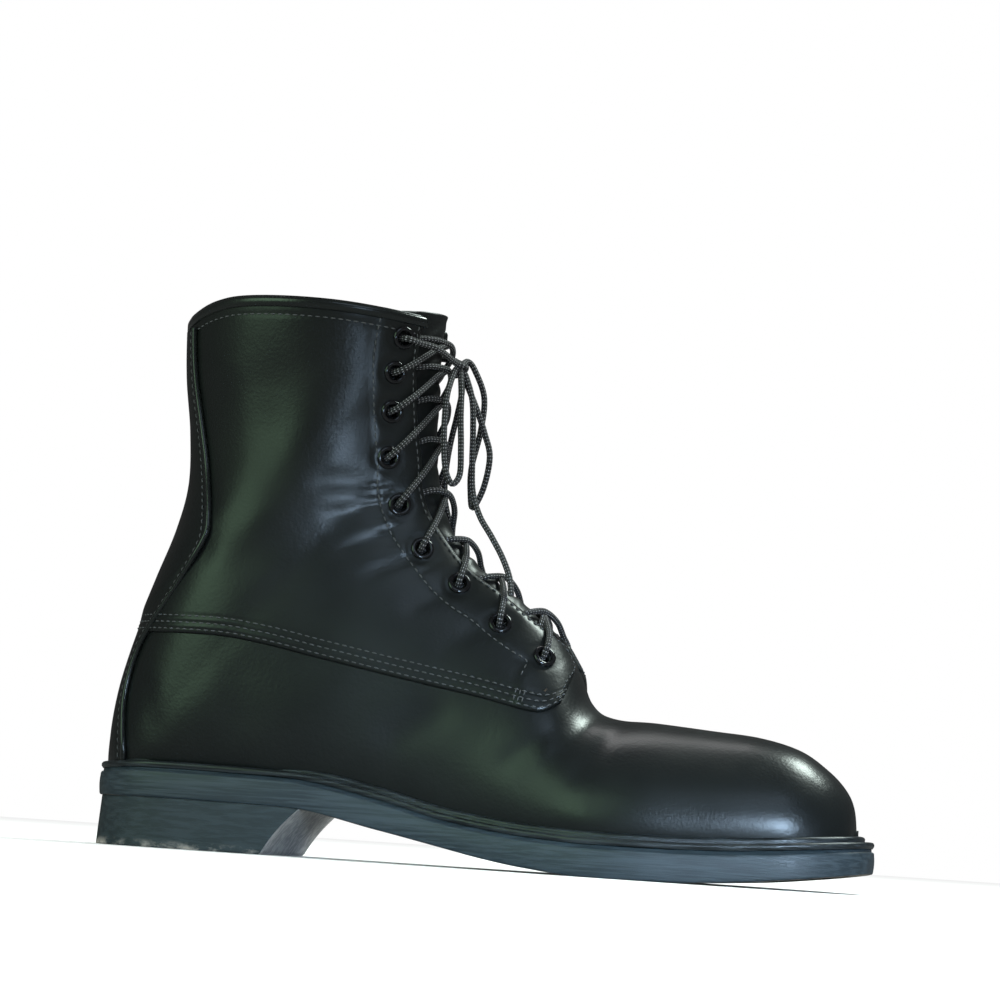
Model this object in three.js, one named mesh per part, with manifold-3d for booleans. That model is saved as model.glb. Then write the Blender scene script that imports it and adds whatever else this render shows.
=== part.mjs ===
// Combat boot, left foot, standing on its sole.
// Millimetres, +X to the toe, +Y to the outer side of the foot, +Z up.
// The origin is the middle of the heel's bottom face.

import * as THREE from "three";
import { mergeVertices } from "three/addons/utils/BufferGeometryUtils.js";
import Module from "manifold-3d";

const wasm = await Module();
wasm.setup();

// Driving dimensions
const soleLength = 316;
const ballWidth = 99;
const ankleWidth = 69;
const collarHeight = 223;
const vampHeight = 62;
const seatHeight = 33;
const wall = 1.9;
const quarterStep = 1.1;
const clearance = 0.3;

// Sole, welt, heel and insole
const weltThickness = 2.8;
const weltBead = 2.6;
const weltMargin = 7.2;
const heelMargin = 4.2;
const grooveHeight = 1.3;
const grooveDepth = 1.1;
const treadDepth = 3.4;
const treadBorder = 9;
const treadStart = 0.5;
const treadEnd = 0.95;
const treadUnder = 2;
const neckFoot = 3;
const lugPitch = 17;
const lugWidth = 9;
const lugPoint = 9;
const insoleThickness = 3;

// Trim of the upper
const backstayThickness = 1.0;
const pipingRise = 1.7;
const pipingWidth = 2.4;
const bindingHeight = 4.6;
const bindingThickness = 0.6;
const tongueThickness = 2.2;
const tongueRise = 4;

// Eyelets and lace
const eyeletRadius = 4.7;
const eyeletHole = 2.7;
const eyeletRim = 1.1;
const barrelWall = 0.5;
const laceDiameter = 2.5;
const barRise = 0.5;

// Mesh fineness
const ringPoints = 22;
const outlineSteps = 22;
const profileSteps = 20;
const cordSides = 8;
const strandSides = 6;
const strandSteps = 4;
const eyeletSides = 6;
const knotSides = 8;
const knotRings = 6;
const halvings = 40;

// How far the cutting blocks reach past the boot
const farSide = 0.9 * ballWidth;
const farBack = -0.13 * soleLength;
const farDown = -1.2 * seatHeight;
const farUp = 1.35 * collarHeight;
const blockHeight = 4 * seatHeight;
const overrun = 0.05;

// Sections of the vamp, upright, from the toe back.
// x is a share of soleLength, crown of vampHeight, outer, inner and sway of ballWidth,
// drop of the lowest depth under the seat; low and high are the fullness exponents.
const underDepth = 11;
const vampSections = [
  { x: 0.9745, crown: 0.40, outer: 0.075, inner: 0.072, low: 0.28, high: 0.44, drop: 0.30, sway: -0.090 },
  { x: 0.9700, crown: 0.55, outer: 0.160, inner: 0.140, low: 0.28, high: 0.44, drop: 0.55, sway: -0.090 },
  { x: 0.9580, crown: 0.66, outer: 0.240, inner: 0.200, low: 0.27, high: 0.43, drop: 0.75, sway: -0.088 },
  { x: 0.9350, crown: 0.77, outer: 0.320, inner: 0.265, low: 0.26, high: 0.42, drop: 0.90, sway: -0.084 },
  { x: 0.9000, crown: 0.88, outer: 0.390, inner: 0.325, low: 0.25, high: 0.43, drop: 1.00, sway: -0.075 },
  { x: 0.8500, crown: 0.945, outer: 0.450, inner: 0.372, low: 0.25, high: 0.45, drop: 1.00, sway: -0.062 },
  { x: 0.7900, crown: 0.972, outer: 0.492, inner: 0.414, low: 0.25, high: 0.47, drop: 1.00, sway: -0.047 },
  { x: 0.7200, crown: 1.000, outer: 0.515, inner: 0.452, low: 0.25, high: 0.49, drop: 1.00, sway: -0.032 },
  { x: 0.6600, crown: 1.018, outer: 0.508, inner: 0.452, low: 0.25, high: 0.50, drop: 1.00, sway: -0.022 },
];

// Sections that fan over the instep: under is where the section meets the sole,
// front and rise are its upper end, as shares of soleLength and collarHeight.
const instepSections = [
  { under: 0.603, front: 0.628, rise: 0.311, outer: 0.485, inner: 0.425, low: 0.26, high: 0.49, sway: -0.016 },
  { under: 0.535, front: 0.606, rise: 0.378, outer: 0.455, inner: 0.382, low: 0.26, high: 0.46, sway: -0.012 },
  { under: 0.460, front: 0.566, rise: 0.457, outer: 0.420, inner: 0.348, low: 0.26, high: 0.45, sway: -0.008 },
  { under: 0.380, front: 0.518, rise: 0.509, outer: 0.396, inner: 0.336, low: 0.25, high: 0.45, sway: -0.004 },
  { under: 0.295, front: 0.474, rise: 0.556, outer: 0.385, inner: 0.344, low: 0.24, high: 0.46, sway: 0 },
  { under: 0.210, front: 0.443, rise: 0.608, outer: 0.378, inner: 0.355, low: 0.23, high: 0.47, sway: 0 },
  { under: 0.125, front: 0.426, rise: 0.664, outer: 0.374, inner: 0.360, low: 0.24, high: 0.48, sway: 0 },
  { under: 0.050, front: 0.419, rise: 0.717, outer: 0.370, inner: 0.361, low: 0.27, high: 0.49, sway: 0 },
];

// Sections of the heel and shaft: back and lift are the rear end, front and rise the
// front end, as shares of soleLength and collarHeight; widths are shares of ankleWidth.
const shaftSections = [
  { back: 0.018, lift: 0.120, front: 0.415, rise: 0.762, outer: 0.516, inner: 0.508, low: 0.31, high: 0.50 },
  { back: 0.013, lift: 0.190, front: 0.414, rise: 0.800, outer: 0.513, inner: 0.505, low: 0.34, high: 0.50 },
  { back: 0.019, lift: 0.280, front: 0.413, rise: 0.830, outer: 0.507, inner: 0.500, low: 0.37, high: 0.50 },
  { back: 0.036, lift: 0.380, front: 0.413, rise: 0.860, outer: 0.500, inner: 0.495, low: 0.40, high: 0.50 },
  { back: 0.057, lift: 0.475, front: 0.413, rise: 0.886, outer: 0.494, inner: 0.489, low: 0.43, high: 0.50 },
  { back: 0.079, lift: 0.570, front: 0.413, rise: 0.910, outer: 0.493, inner: 0.488, low: 0.47, high: 0.50 },
  { back: 0.091, lift: 0.660, front: 0.413, rise: 0.934, outer: 0.498, inner: 0.492, low: 0.50, high: 0.50 },
  { back: 0.088, lift: 0.760, front: 0.414, rise: 0.958, outer: 0.512, inner: 0.505, low: 0.50, high: 0.50 },
  { back: 0.078, lift: 0.860, front: 0.415, rise: 0.983, outer: 0.535, inner: 0.526, low: 0.50, high: 0.50 },
  { back: 0.074, lift: 0.960, front: 0.416, rise: 1.010, outer: 0.558, inner: 0.548, low: 0.50, high: 0.50 },
  { back: 0.074, lift: 1.070, front: 0.417, rise: 1.080, outer: 0.575, inner: 0.562, low: 0.50, high: 0.50 },
];

// Side profile of the sole: x is a share of soleLength, top and bottom of seatHeight.
const soleSections = [
  { x: 0.000, top: 1.000, bottom: 0.600 },
  { x: 0.090, top: 1.045, bottom: 0.600 },
  { x: 0.200, top: 1.035, bottom: 0.595 },
  { x: 0.270, top: 1.015, bottom: 0.580 },
  { x: 0.387, top: 0.824, bottom: 0.385 },
  { x: 0.468, top: 0.640, bottom: 0.235 },
  { x: 0.526, top: 0.557, bottom: 0.130 },
  { x: 0.577, top: 0.506, bottom: 0.062 },
  { x: 0.660, top: 0.465, bottom: 0.000 },
  { x: 0.750, top: 0.467, bottom: 0.000 },
  { x: 0.830, top: 0.492, bottom: 0.042 },
  { x: 0.930, top: 0.567, bottom: 0.150 },
  { x: 1.000, top: 0.630, bottom: 0.250 },
];

// Side lines of the panels, as shares of soleLength and collarHeight.
const facingEdge = [
  [0.394, 1.010],
  [0.386, 0.900],
  [0.389, 0.800],
  [0.397, 0.718],
  [0.401, 0.673],
  [0.415, 0.622],
  [0.450, 0.557],
  [0.478, 0.521],
  [0.509, 0.494],
  [0.558, 0.444],
  [0.594, 0.406],
  [0.611, 0.372],
  [0.606, 0.325],
];
const quarterEdge = [
  [0.600, 0.305],
  [0.589, 0.285],
  [0.566, 0.283],
  [0.503, 0.301],
  [0.397, 0.328],
  [0.297, 0.355],
  [0.217, 0.377],
  [0.150, 0.384],
  [-0.050, 0.384],
];
const collarEdge = [
  [0.000, 0.948],
  [0.060, 0.958],
  [0.090, 0.972],
  [0.130, 0.991],
  [0.180, 0.999],
  [0.290, 0.996],
  [0.400, 0.982],
  [0.500, 0.970],
];
const throatBack = 0.394;
const throatFront = 0.8;
const throatTop = 1.15;
const backstayEdge = [
  [0.098, 0.932],
  [0.106, 0.840],
  [0.128, 0.703],
  [0.142, 0.600],
  [0.136, 0.545],
  [0.087, 0.433],
  [0.055, 0.355],
  [0.042, 0.265],
  [0.046, 0.120],
];
const tongueBehind = 0.036;
const tongueBelow = 0.03;
const tongueFoot = [
  [0.600, 0.270],
  [0.655, 0.235],
  [0.800, 0.235],
  [0.800, 1.200],
];
const eyeletPlaces = [
  [0.370, 0.939],
  [0.362, 0.875],
  [0.360, 0.805],
  [0.359, 0.722],
  [0.376, 0.639],
  [0.409, 0.561],
  [0.460, 0.501],
  [0.518, 0.433],
  [0.576, 0.379],
];

// Heel block, by shares of soleLength
const breastFoot = 0.240;
const breastHead = 0.286;
const heelRest = 0.115;

// Materials
function finish(colour, roughness, metalness) {
  return new THREE.MeshStandardMaterial({ color: colour, roughness, metalness });
}
const leather = finish(0x16181a, 0.38, 0);
const lining = finish(0x2a2725, 0.8, 0);
const rubber = finish(0x23282c, 0.6, 0);
const heelRubber = finish(0x2b2c2d, 0.7, 0);
const enamel = finish(0x0d0d0e, 0.3, 0.6);
const braid = finish(0x1c1c1d, 0.85, 0);

// Interpolation
function catmull(a, b, c, d, t) {
  const lift = 2 * a - 5 * b + 4 * c - d;
  const swing = 3 * b - a - 3 * c + d;
  return b + 0.5 * t * (c - a + t * (lift + t * swing));
}

function blendRows(rows, place) {
  const last = rows.length - 1;
  const index = Math.min(Math.floor(place), last - 1);
  const share = place - index;
  const row = {};
  for (const key of Object.keys(rows[0])) {
    const before = rows[Math.max(index - 1, 0)][key];
    const after = rows[Math.min(index + 2, last)][key];
    row[key] = catmull(before, rows[index][key], rows[index + 1][key], after, share);
  }
  return row;
}

// A monotone cubic through the rows of a table, read at x.
function steadyAt(rows, key, x) {
  const count = rows.length;
  const slopes = [];
  for (let i = 0; i + 1 < count; i++) {
    slopes.push((rows[i + 1][key] - rows[i][key]) / (rows[i + 1].x - rows[i].x));
  }
  const tangent = (i) => {
    if (i === 0) return slopes[0];
    if (i === count - 1) return slopes[count - 2];
    const product = slopes[i - 1] * slopes[i];
    return product <= 0 ? 0 : (2 * product) / (slopes[i - 1] + slopes[i]);
  };
  let index = 0;
  while (index < count - 2 && x > rows[index + 1].x) index += 1;
  const span = rows[index + 1].x - rows[index].x;
  const t = Math.min(Math.max((x - rows[index].x) / span, 0), 1);
  const rise = rows[index + 1][key] - rows[index][key];
  const start = tangent(index) * span;
  const end = tangent(index + 1) * span;
  return rows[index][key] + t * (start + t * (3 * rise - 2 * start - end + t * (start + end - 2 * rise)));
}

function soleTop(x) {
  return seatHeight * steadyAt(soleSections, "top", x / soleLength);
}

function soleBottom(x) {
  return seatHeight * steadyAt(soleSections, "bottom", x / soleLength);
}

function seatLine(x) {
  return soleTop(x) - weltThickness;
}

// The upper's sections in millimetres: under and over are the ends of the section's
// chord in the side view, outer and inner its half widths.
function sectionRows() {
  const rows = [];
  for (const row of vampSections) {
    const x = row.x * soleLength;
    rows.push({
      underX: x,
      underZ: seatLine(x) - row.drop * underDepth,
      overX: x,
      overZ: row.crown * vampHeight,
      outer: row.outer * ballWidth,
      inner: row.inner * ballWidth,
      low: row.low,
      high: row.high,
      sway: row.sway * ballWidth,
    });
  }
  for (const row of instepSections) {
    const x = row.under * soleLength;
    rows.push({
      underX: x,
      underZ: seatLine(x) - underDepth,
      overX: row.front * soleLength,
      overZ: row.rise * collarHeight,
      outer: row.outer * ballWidth,
      inner: row.inner * ballWidth,
      low: row.low,
      high: row.high,
      sway: row.sway * ballWidth,
    });
  }
  for (const row of shaftSections) {
    rows.push({
      underX: row.back * soleLength,
      underZ: row.lift * collarHeight,
      overX: row.front * soleLength,
      overZ: row.rise * collarHeight,
      outer: row.outer * ankleWidth,
      inner: row.inner * ankleWidth,
      low: row.low,
      high: row.high,
      sway: 0,
    });
  }
  return rows;
}
const sections = sectionRows();
const lastSection = sections.length - 1;

function outwardNormal(place, keyX, keyZ, side) {
  const reach = 0.05;
  const a = blendRows(sections, Math.max(place - reach, 0));
  const b = blendRows(sections, Math.min(place + reach, lastSection));
  const dx = b[keyX] - a[keyX];
  const dz = b[keyZ] - a[keyZ];
  const length = Math.hypot(dx, dz);
  return [(side * -dz) / length, (side * dx) / length];
}

// The upper's own function: place runs from the toe to the collar, turn goes round the
// section from the rear end over the outer side, and offset is the depth of the layer.
function uppersPoint(row, ends, turn, offset) {
  const share = (1 - Math.cos(turn)) / 2;
  const peak = row.low / (row.low + row.high);
  const full = Math.pow(peak, row.low) * Math.pow(1 - peak, row.high);
  const bulge = (Math.pow(share, row.low) * Math.pow(1 - share, row.high)) / full;
  const outerSide = turn <= Math.PI;
  const half = outerSide ? row.outer + offset : -(row.inner + offset);
  return [
    ends.underX + (ends.overX - ends.underX) * share,
    row.sway + half * bulge,
    ends.underZ + (ends.overZ - ends.underZ) * share,
  ];
}

function sectionEnds(place, offset) {
  const row = blendRows(sections, place);
  const under = outwardNormal(place, "underX", "underZ", 1);
  const over = outwardNormal(place, "overX", "overZ", -1);
  const ends = {
    underX: row.underX + offset * under[0],
    underZ: row.underZ + offset * under[1],
    overX: row.overX + offset * over[0],
    overZ: row.overZ + offset * over[1],
  };
  return { row, ends };
}

// Solids
function solidFrom(geometry) {
  const bare = geometry.clone();
  bare.deleteAttribute("normal");
  bare.deleteAttribute("uv");
  const merged = mergeVertices(bare, 1e-4);
  return new wasm.Manifold(new wasm.Mesh({
    numProp: 3,
    vertProperties: new Float32Array(merged.attributes.position.array),
    triVerts: new Uint32Array(merged.index.array),
  }));
}

function lastForm(offset) {
  const vertices = [];
  const faces = [];
  const count = lastSection;
  for (let i = 0; i <= count; i++) {
    const { row, ends } = sectionEnds(i, offset);
    for (let j = 0; j < ringPoints; j++) {
      vertices.push(...uppersPoint(row, ends, (2 * Math.PI * j) / ringPoints, offset));
    }
  }
  for (let i = 0; i < count; i++) {
    for (let j = 0; j < ringPoints; j++) {
      const next = (j + 1) % ringPoints;
      const a = i * ringPoints + j;
      const b = i * ringPoints + next;
      faces.push(a, b + ringPoints, b, a, a + ringPoints, b + ringPoints);
    }
  }
  for (const [ring, turned] of [[0, true], [count, false]]) {
    const centre = vertices.length / 3;
    const start = ring * ringPoints;
    const sum = [0, 0, 0];
    for (let j = 0; j < ringPoints; j++) {
      for (let k = 0; k < 3; k++) sum[k] += vertices[3 * (start + j) + k] / ringPoints;
    }
    vertices.push(...sum);
    for (let j = 0; j < ringPoints; j++) {
      const next = (j + 1) % ringPoints;
      if (turned) faces.push(centre, start + j, start + next);
      else faces.push(centre, start + next, start + j);
    }
  }
  return new wasm.Manifold(new wasm.Mesh({
    numProp: 3,
    vertProperties: new Float32Array(vertices),
    triVerts: new Uint32Array(faces),
  }));
}

// A side view outline carried right across the boot.
function sidePlate(points) {
  const shape = new THREE.Shape(points.map(([x, z]) => new THREE.Vector2(x, z)));
  const plate = new THREE.ExtrudeGeometry(shape, { depth: 2 * farSide, bevelEnabled: false });
  plate.rotateX(Math.PI / 2);
  plate.translate(0, farSide, 0);
  return solidFrom(plate);
}

// A plan outline carried up from one height to another.
function planBlock(points) {
  const shape = new THREE.Shape(points.map(([x, y]) => new THREE.Vector2(x, y)));
  const block = new THREE.ExtrudeGeometry(shape, { depth: blockHeight, bevelEnabled: false });
  block.translate(0, 0, -seatHeight);
  return solidFrom(block);
}

function line(shares) {
  return shares.map(([x, z]) => [x * soleLength, z * collarHeight]);
}

function profilePoints(heightAt) {
  const points = [];
  for (let i = 0; i <= profileSteps; i++) {
    const x = soleLength * ((1 + 2 * overrun) * (i / profileSteps) - overrun);
    points.push([x, heightAt(x)]);
  }
  return points;
}

// What lies between two curves of the side view.
function band(lowerAt, upperAt) {
  return sidePlate([...profilePoints(lowerAt), ...profilePoints(upperAt).reverse()]);
}

// The place of the section whose rear end lies on the seat.
function heelPlace() {
  let low = vampSections.length;
  let high = vampSections.length + instepSections.length + 2;
  for (let k = 0; k < halvings; k++) {
    const middle = (low + high) / 2;
    const row = blendRows(sections, middle);
    if (row.underZ < seatLine(row.underX)) low = middle;
    else high = middle;
  }
  return low;
}

// Where the upper meets the seat, seen from above, moved outwards by a margin.
function seatOutline(marginAt) {
  const outerSide = [];
  const innerSide = [];
  const end = heelPlace();
  for (let i = 0; i <= outlineSteps; i++) {
    const place = (end * (1 - Math.cos((Math.PI * i) / outlineSteps))) / 2;
    const { row, ends } = sectionEnds(place, 0);
    let low = 0;
    let high = Math.PI / 2;
    for (let k = 0; k < halvings; k++) {
      const middle = (low + high) / 2;
      const point = uppersPoint(row, ends, middle, 0);
      if (point[2] < seatLine(point[0])) low = middle;
      else high = middle;
    }
    outerSide.push(uppersPoint(row, ends, low, 0));
    innerSide.push(uppersPoint(row, ends, 2 * Math.PI - low, 0));
  }
  const ring = [...innerSide, ...outerSide.reverse().slice(1)];
  return ring.map((point, index) => {
    const before = ring[(index + ring.length - 1) % ring.length];
    const after = ring[(index + 1) % ring.length];
    const dx = after[0] - before[0];
    const dy = after[1] - before[1];
    const length = Math.hypot(dx, dy);
    const margin = marginAt(point[0] / soleLength);
    return [point[0] - (margin * dy) / length, point[1] + (margin * dx) / length];
  });
}

function edgeMargin(share) {
  const t = THREE.MathUtils.smoothstep(share, 0.3, 0.6);
  return heelMargin + (weltMargin - heelMargin) * t;
}

// The quarters' region of the side view; drop lowers its bottom edge.
function quarterPlate(drop) {
  const lowerEdge = line(quarterEdge).map(([x, z]) => [x, z - drop]);
  const top = [facingEdge[0][0] * soleLength, farUp];
  return sidePlate([...line(facingEdge), ...lowerEdge, [farBack, farUp], top]);
}

function throatPlate() {
  const foot = [throatFront, facingEdge[facingEdge.length - 1][1]];
  return sidePlate(line([...facingEdge, foot, [throatFront, throatTop], [throatBack, throatTop]]));
}

function abovePlate(rise) {
  const edge = line(collarEdge).map(([x, z]) => [x, z + rise]);
  const front = edge[edge.length - 1][0];
  return sidePlate([...edge, [front, farUp], [farBack, farUp], [farBack, edge[0][1]]]);
}

const quarter = quarterPlate(0);
const throat = throatPlate();

function upperShell(offset) {
  return lastForm(offset).add(lastForm(quarterStep + offset).intersect(quarter));
}

const seatPlate = band(() => farDown, (x) => seatLine(x) + clearance);

function makeUpper() {
  return upperShell(0)
    .subtract(lastForm(-wall))
    .subtract(throat)
    .subtract(abovePlate(-bindingHeight - clearance))
    .subtract(seatPlate)
    .subtract(eyeletHoles());
}

function makeTongue() {
  const outside = -wall - clearance;
  const edge = facingEdge.slice(1).map(([x, z]) => [x - tongueBehind, z - tongueBelow]);
  const top = [facingEdge[0][0] - tongueBehind, tongueFoot[tongueFoot.length - 1][1]];
  const region = sidePlate(line([top, ...edge, ...tongueFoot]));
  return lastForm(outside)
    .subtract(lastForm(outside - tongueThickness))
    .intersect(region)
    .subtract(abovePlate(tongueRise));
}

function makeInsole() {
  const layer = band((x) => seatLine(x) + clearance, (x) => seatLine(x) + clearance + insoleThickness);
  return lastForm(-wall - clearance).intersect(layer);
}

function makeWelt() {
  const inside = lastForm(clearance);
  const flange = planBlock(seatOutline(edgeMargin))
    .intersect(band((x) => seatLine(x) + clearance, soleTop));
  const bead = planBlock(seatOutline(() => 2 * clearance + weltBead))
    .intersect(band((x) => soleTop(x) - clearance, (x) => soleTop(x) + weltBead));
  return flange.add(bead).subtract(inside);
}

function makeOutsole() {
  const edge = seatOutline(edgeMargin);
  const grooved = seatOutline((share) => edgeMargin(share) - grooveDepth);
  const lower = planBlock(edge).intersect(band(soleBottom, (x) => seatLine(x) - grooveHeight));
  const neck = planBlock(grooved).intersect(band((x) => soleBottom(x) + neckFoot, seatLine));
  const inside = seatOutline((share) => edgeMargin(share) - treadBorder)
    .filter(([x]) => x > treadStart * soleLength && x < treadEnd * soleLength);
  const tread = planBlock(inside)
    .intersect(band((x) => soleBottom(x) - treadUnder, (x) => soleBottom(x) + treadDepth));
  const lugs = [];
  for (let x = treadStart * soleLength; x < treadEnd * soleLength; x += lugPitch) {
    lugs.push(planBlock([
      [x, -farSide],
      [x + lugWidth, -farSide],
      [x + lugWidth + lugPoint, 0],
      [x + lugWidth, farSide],
      [x, farSide],
      [x + lugPoint, 0],
    ]));
  }
  return lower.add(neck).subtract(tread.subtract(wasm.Manifold.union(lugs)));
}

function makeHeel() {
  const head = breastHead * soleLength;
  const foot = breastFoot * soleLength;
  const breast = sidePlate([
    [farBack, 0],
    [foot, 0],
    [head, soleBottom(head)],
    [head, farUp],
    [farBack, farUp],
  ]);
  return planBlock(seatOutline(edgeMargin))
    .intersect(breast)
    .intersect(band(() => farDown, (x) => soleBottom(x) - clearance));
}

// A rolled band that finishes the collar's edge.
function makeBinding() {
  return lastForm(quarterStep + bindingThickness)
    .subtract(lastForm(-wall))
    .intersect(abovePlate(-bindingHeight))
    .subtract(abovePlate(0))
    .subtract(throat);
}

// A strip up the back seam with a raised cord along each front edge.
function makeBackstay() {
  const edge = line(backstayEdge);
  const region = sidePlate([...edge, [farBack, edge[edge.length - 1][1]], [farBack, edge[0][1]]]);
  const behind = edge.map(([x, z]) => [x - pipingWidth, z]);
  const piping = sidePlate([...edge, ...behind.reverse()]);
  const strip = lastForm(quarterStep + clearance + backstayThickness).intersect(region);
  const cord = lastForm(quarterStep + clearance + pipingRise).intersect(piping);
  const room = lastForm(quarterStep + clearance).intersect(quarterPlate(clearance));
  const foot = band(() => farDown, (x) => soleTop(x) + weltBead + clearance);
  return strip.add(cord).subtract(lastForm(clearance)).subtract(room).subtract(foot);
}

// The place and turn of the upper's function where the side view point (x, z) lies.
function locate([x, z], side) {
  let low = 0;
  let top = lastSection;
  for (let k = 0; k < halvings; k++) {
    const middle = (low + top) / 2;
    const row = blendRows(sections, middle);
    const acrossX = row.overX - row.underX;
    const acrossZ = row.overZ - row.underZ;
    const turnedBack = acrossX * (z - row.underZ) - acrossZ * (x - row.underX);
    if (turnedBack > 0) low = middle;
    else top = middle;
  }
  const row = blendRows(sections, low);
  const chord = new THREE.Vector2(row.overX - row.underX, row.overZ - row.underZ);
  const along = new THREE.Vector2(x - row.underX, z - row.underZ).dot(chord) / chord.lengthSq();
  const turn = Math.acos(1 - 2 * along);
  return { place: low, turn: side > 0 ? turn : 2 * Math.PI - turn };
}

function pointOn(place, turn, offset) {
  const { row, ends } = sectionEnds(place, offset);
  return new THREE.Vector3(...uppersPoint(row, ends, turn, offset));
}

function normalOn(place, turn) {
  const reach = 0.02;
  const alongPlace = pointOn(place + reach, turn, 0).sub(pointOn(place - reach, turn, 0));
  const alongTurn = pointOn(place, turn + reach, 0).sub(pointOn(place, turn - reach, 0));
  return alongPlace.cross(alongTurn).normalize();
}

const sides = [
  { name: "inner", side: -1 },
  { name: "outer", side: 1 },
];

function eyeletSpots() {
  const spots = [];
  for (const { name, side } of sides) {
    eyeletPlaces.forEach(([x, z], index) => {
      const spot = locate([x * soleLength, z * collarHeight], side);
      const centre = pointOn(spot.place, spot.turn, quarterStep);
      const axis = normalOn(spot.place, spot.turn);
      spots.push({ name, side, index, spot, centre, axis });
    });
  }
  return spots;
}
const eyelets = eyeletSpots();

function turnTo(axis) {
  return new THREE.Quaternion().setFromUnitVectors(new THREE.Vector3(0, 1, 0), axis);
}

function eyeletHoles() {
  const radius = eyeletHole + barrelWall + clearance;
  const depth = 4 * (wall + quarterStep);
  return wasm.Manifold.union(eyelets.map(({ centre, axis }) => {
    const drill = new THREE.CylinderGeometry(radius, radius, depth, eyeletSides);
    drill.applyQuaternion(turnTo(axis));
    drill.translate(centre.x, centre.y, centre.z);
    return solidFrom(drill);
  }));
}

function eyeletShape() {
  const barrel = eyeletHole + barrelWall;
  const depth = wall + quarterStep - 3 * clearance;
  return new THREE.LatheGeometry([
    new THREE.Vector2(eyeletHole, -depth),
    new THREE.Vector2(barrel, -depth),
    new THREE.Vector2(barrel, clearance),
    new THREE.Vector2(eyeletRadius, clearance),
    new THREE.Vector2((barrel + eyeletRadius) / 2, clearance + eyeletRim),
    new THREE.Vector2(eyeletHole, clearance + eyeletRim / 2),
    new THREE.Vector2(eyeletHole, -depth),
  ], eyeletSides);
}

function meshOf(name, solid, material) {
  const mesh = solid.getMesh();
  const geometry = new THREE.BufferGeometry();
  geometry.setAttribute("position", new THREE.BufferAttribute(new Float32Array(mesh.vertProperties), 3));
  geometry.setIndex(new THREE.BufferAttribute(new Uint32Array(mesh.triVerts), 1));
  geometry.computeVertexNormals();
  const result = new THREE.Mesh(geometry, material);
  result.name = name;
  return result;
}

// A round cord along a smooth curve through its points.
function cordAlong(points, steps, count) {
  const section = new THREE.Shape();
  for (let k = 0; k < count; k++) {
    const angle = (2 * Math.PI * k) / count;
    const x = (laceDiameter / 2) * Math.cos(angle);
    const y = (laceDiameter / 2) * Math.sin(angle);
    if (k === 0) section.moveTo(x, y);
    else section.lineTo(x, y);
  }
  const path = new THREE.CatmullRomCurve3(points);
  return solidFrom(new THREE.ExtrudeGeometry(section, { steps, extrudePath: path, bevelEnabled: false }));
}

// Heights of the lace's middle over the upper's own surface.
const laceRadius = laceDiameter / 2;
const overRim = quarterStep + eyeletRim + 4 * clearance + laceRadius;
const overEdge = quarterStep + 2 * clearance + laceRadius;
const overTongue = -wall + laceRadius + 2 * clearance;

const strandLay = [
  { share: 0.02, height: overRim, lifted: 0 },
  { share: 0.09, height: overRim, lifted: 0 },
  { share: 0.18, height: overEdge, lifted: 0 },
  { share: 0.32, height: overTongue + laceRadius, lifted: 1 },
  { share: 0.50, height: overTongue, lifted: 1 },
  { share: 0.72, height: overTongue, lifted: 0 },
];
const secondLift = 0.7 * laceDiameter;
const barShares = [0.32, 0.5, 0.68];
const knotLay = [
  { share: 0.02, height: overRim },
  { share: 0.20, height: overRim },
  { share: 0.45, height: overEdge + laceDiameter },
];

// One strand from a lower eyelet over its facing and across the tongue, ending where it
// goes under the other facing. lift raises it where it passes over the other strand.
function strand(from, to, lift) {
  const points = [];
  for (const { share, height, lifted } of strandLay) {
    const place = from.place + (to.place - from.place) * share;
    points.push(pointOn(place, from.turn + (to.turn - from.turn) * share, height + lifted * lift));
  }
  return cordAlong(points, strandSteps, strandSides);
}

function spotOf(name, index) {
  return eyelets.find((eyelet) => eyelet.name === name && eyelet.index === index).spot;
}

// The bar of lace between the two lowest eyelets, under the first crossing.
function makeBar() {
  const from = spotOf("inner", eyeletPlaces.length - 1);
  const to = spotOf("outer", eyeletPlaces.length - 1);
  const points = barShares.map((share) => {
    return pointOn(from.place + barRise, from.turn + (to.turn - from.turn) * share, overTongue);
  });
  return cordAlong(points, strandSteps, strandSides);
}

function makeCrossing(row) {
  const first = strand(spotOf("inner", row + 1), spotOf("outer", row), 0);
  const second = strand(spotOf("outer", row + 1), spotOf("inner", row), secondLift);
  const crossing = first.add(second);
  return row === eyeletPlaces.length - 2 ? crossing.add(makeBar()) : crossing;
}

// Free lace, by points of its middle from the knot on, in millimetres from the back of the heel.
const knotCentre = [136.8, -1.0, 201.4];
const knotSize = [3.7, 4.9, 3.6];
const innerLoop = [
  [135.2, -5.0, 199.4],
  [134.2, -11.0, 190.0],
  [134.0, -12.5, 180.0],
  [134.6, -13.0, 168.0],
  [136.0, -13.0, 158.0],
  [138.6, -11.5, 152.9],
  [141.0, -9.2, 157.0],
  [140.6, -8.4, 168.0],
  [139.6, -8.0, 180.0],
  [138.9, -6.6, 190.0],
  [137.7, -4.1, 197.4],
];
const outerLoop = [
  [137.8, 6.4, 205.0],
  [140.6, 7.5, 202.0],
  [145.0, 9.5, 191.0],
  [144.6, 9.0, 177.0],
  [141.6, 10.0, 162.0],
  [141.8, 10.5, 151.5],
  [143.6, 8.5, 145.6],
  [148.2, 5.0, 153.5],
  [150.2, 3.6, 166.0],
  [147.4, 3.8, 175.5],
  [143.4, 3.4, 185.6],
  [138.8, 2.8, 195.4],
];
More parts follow.
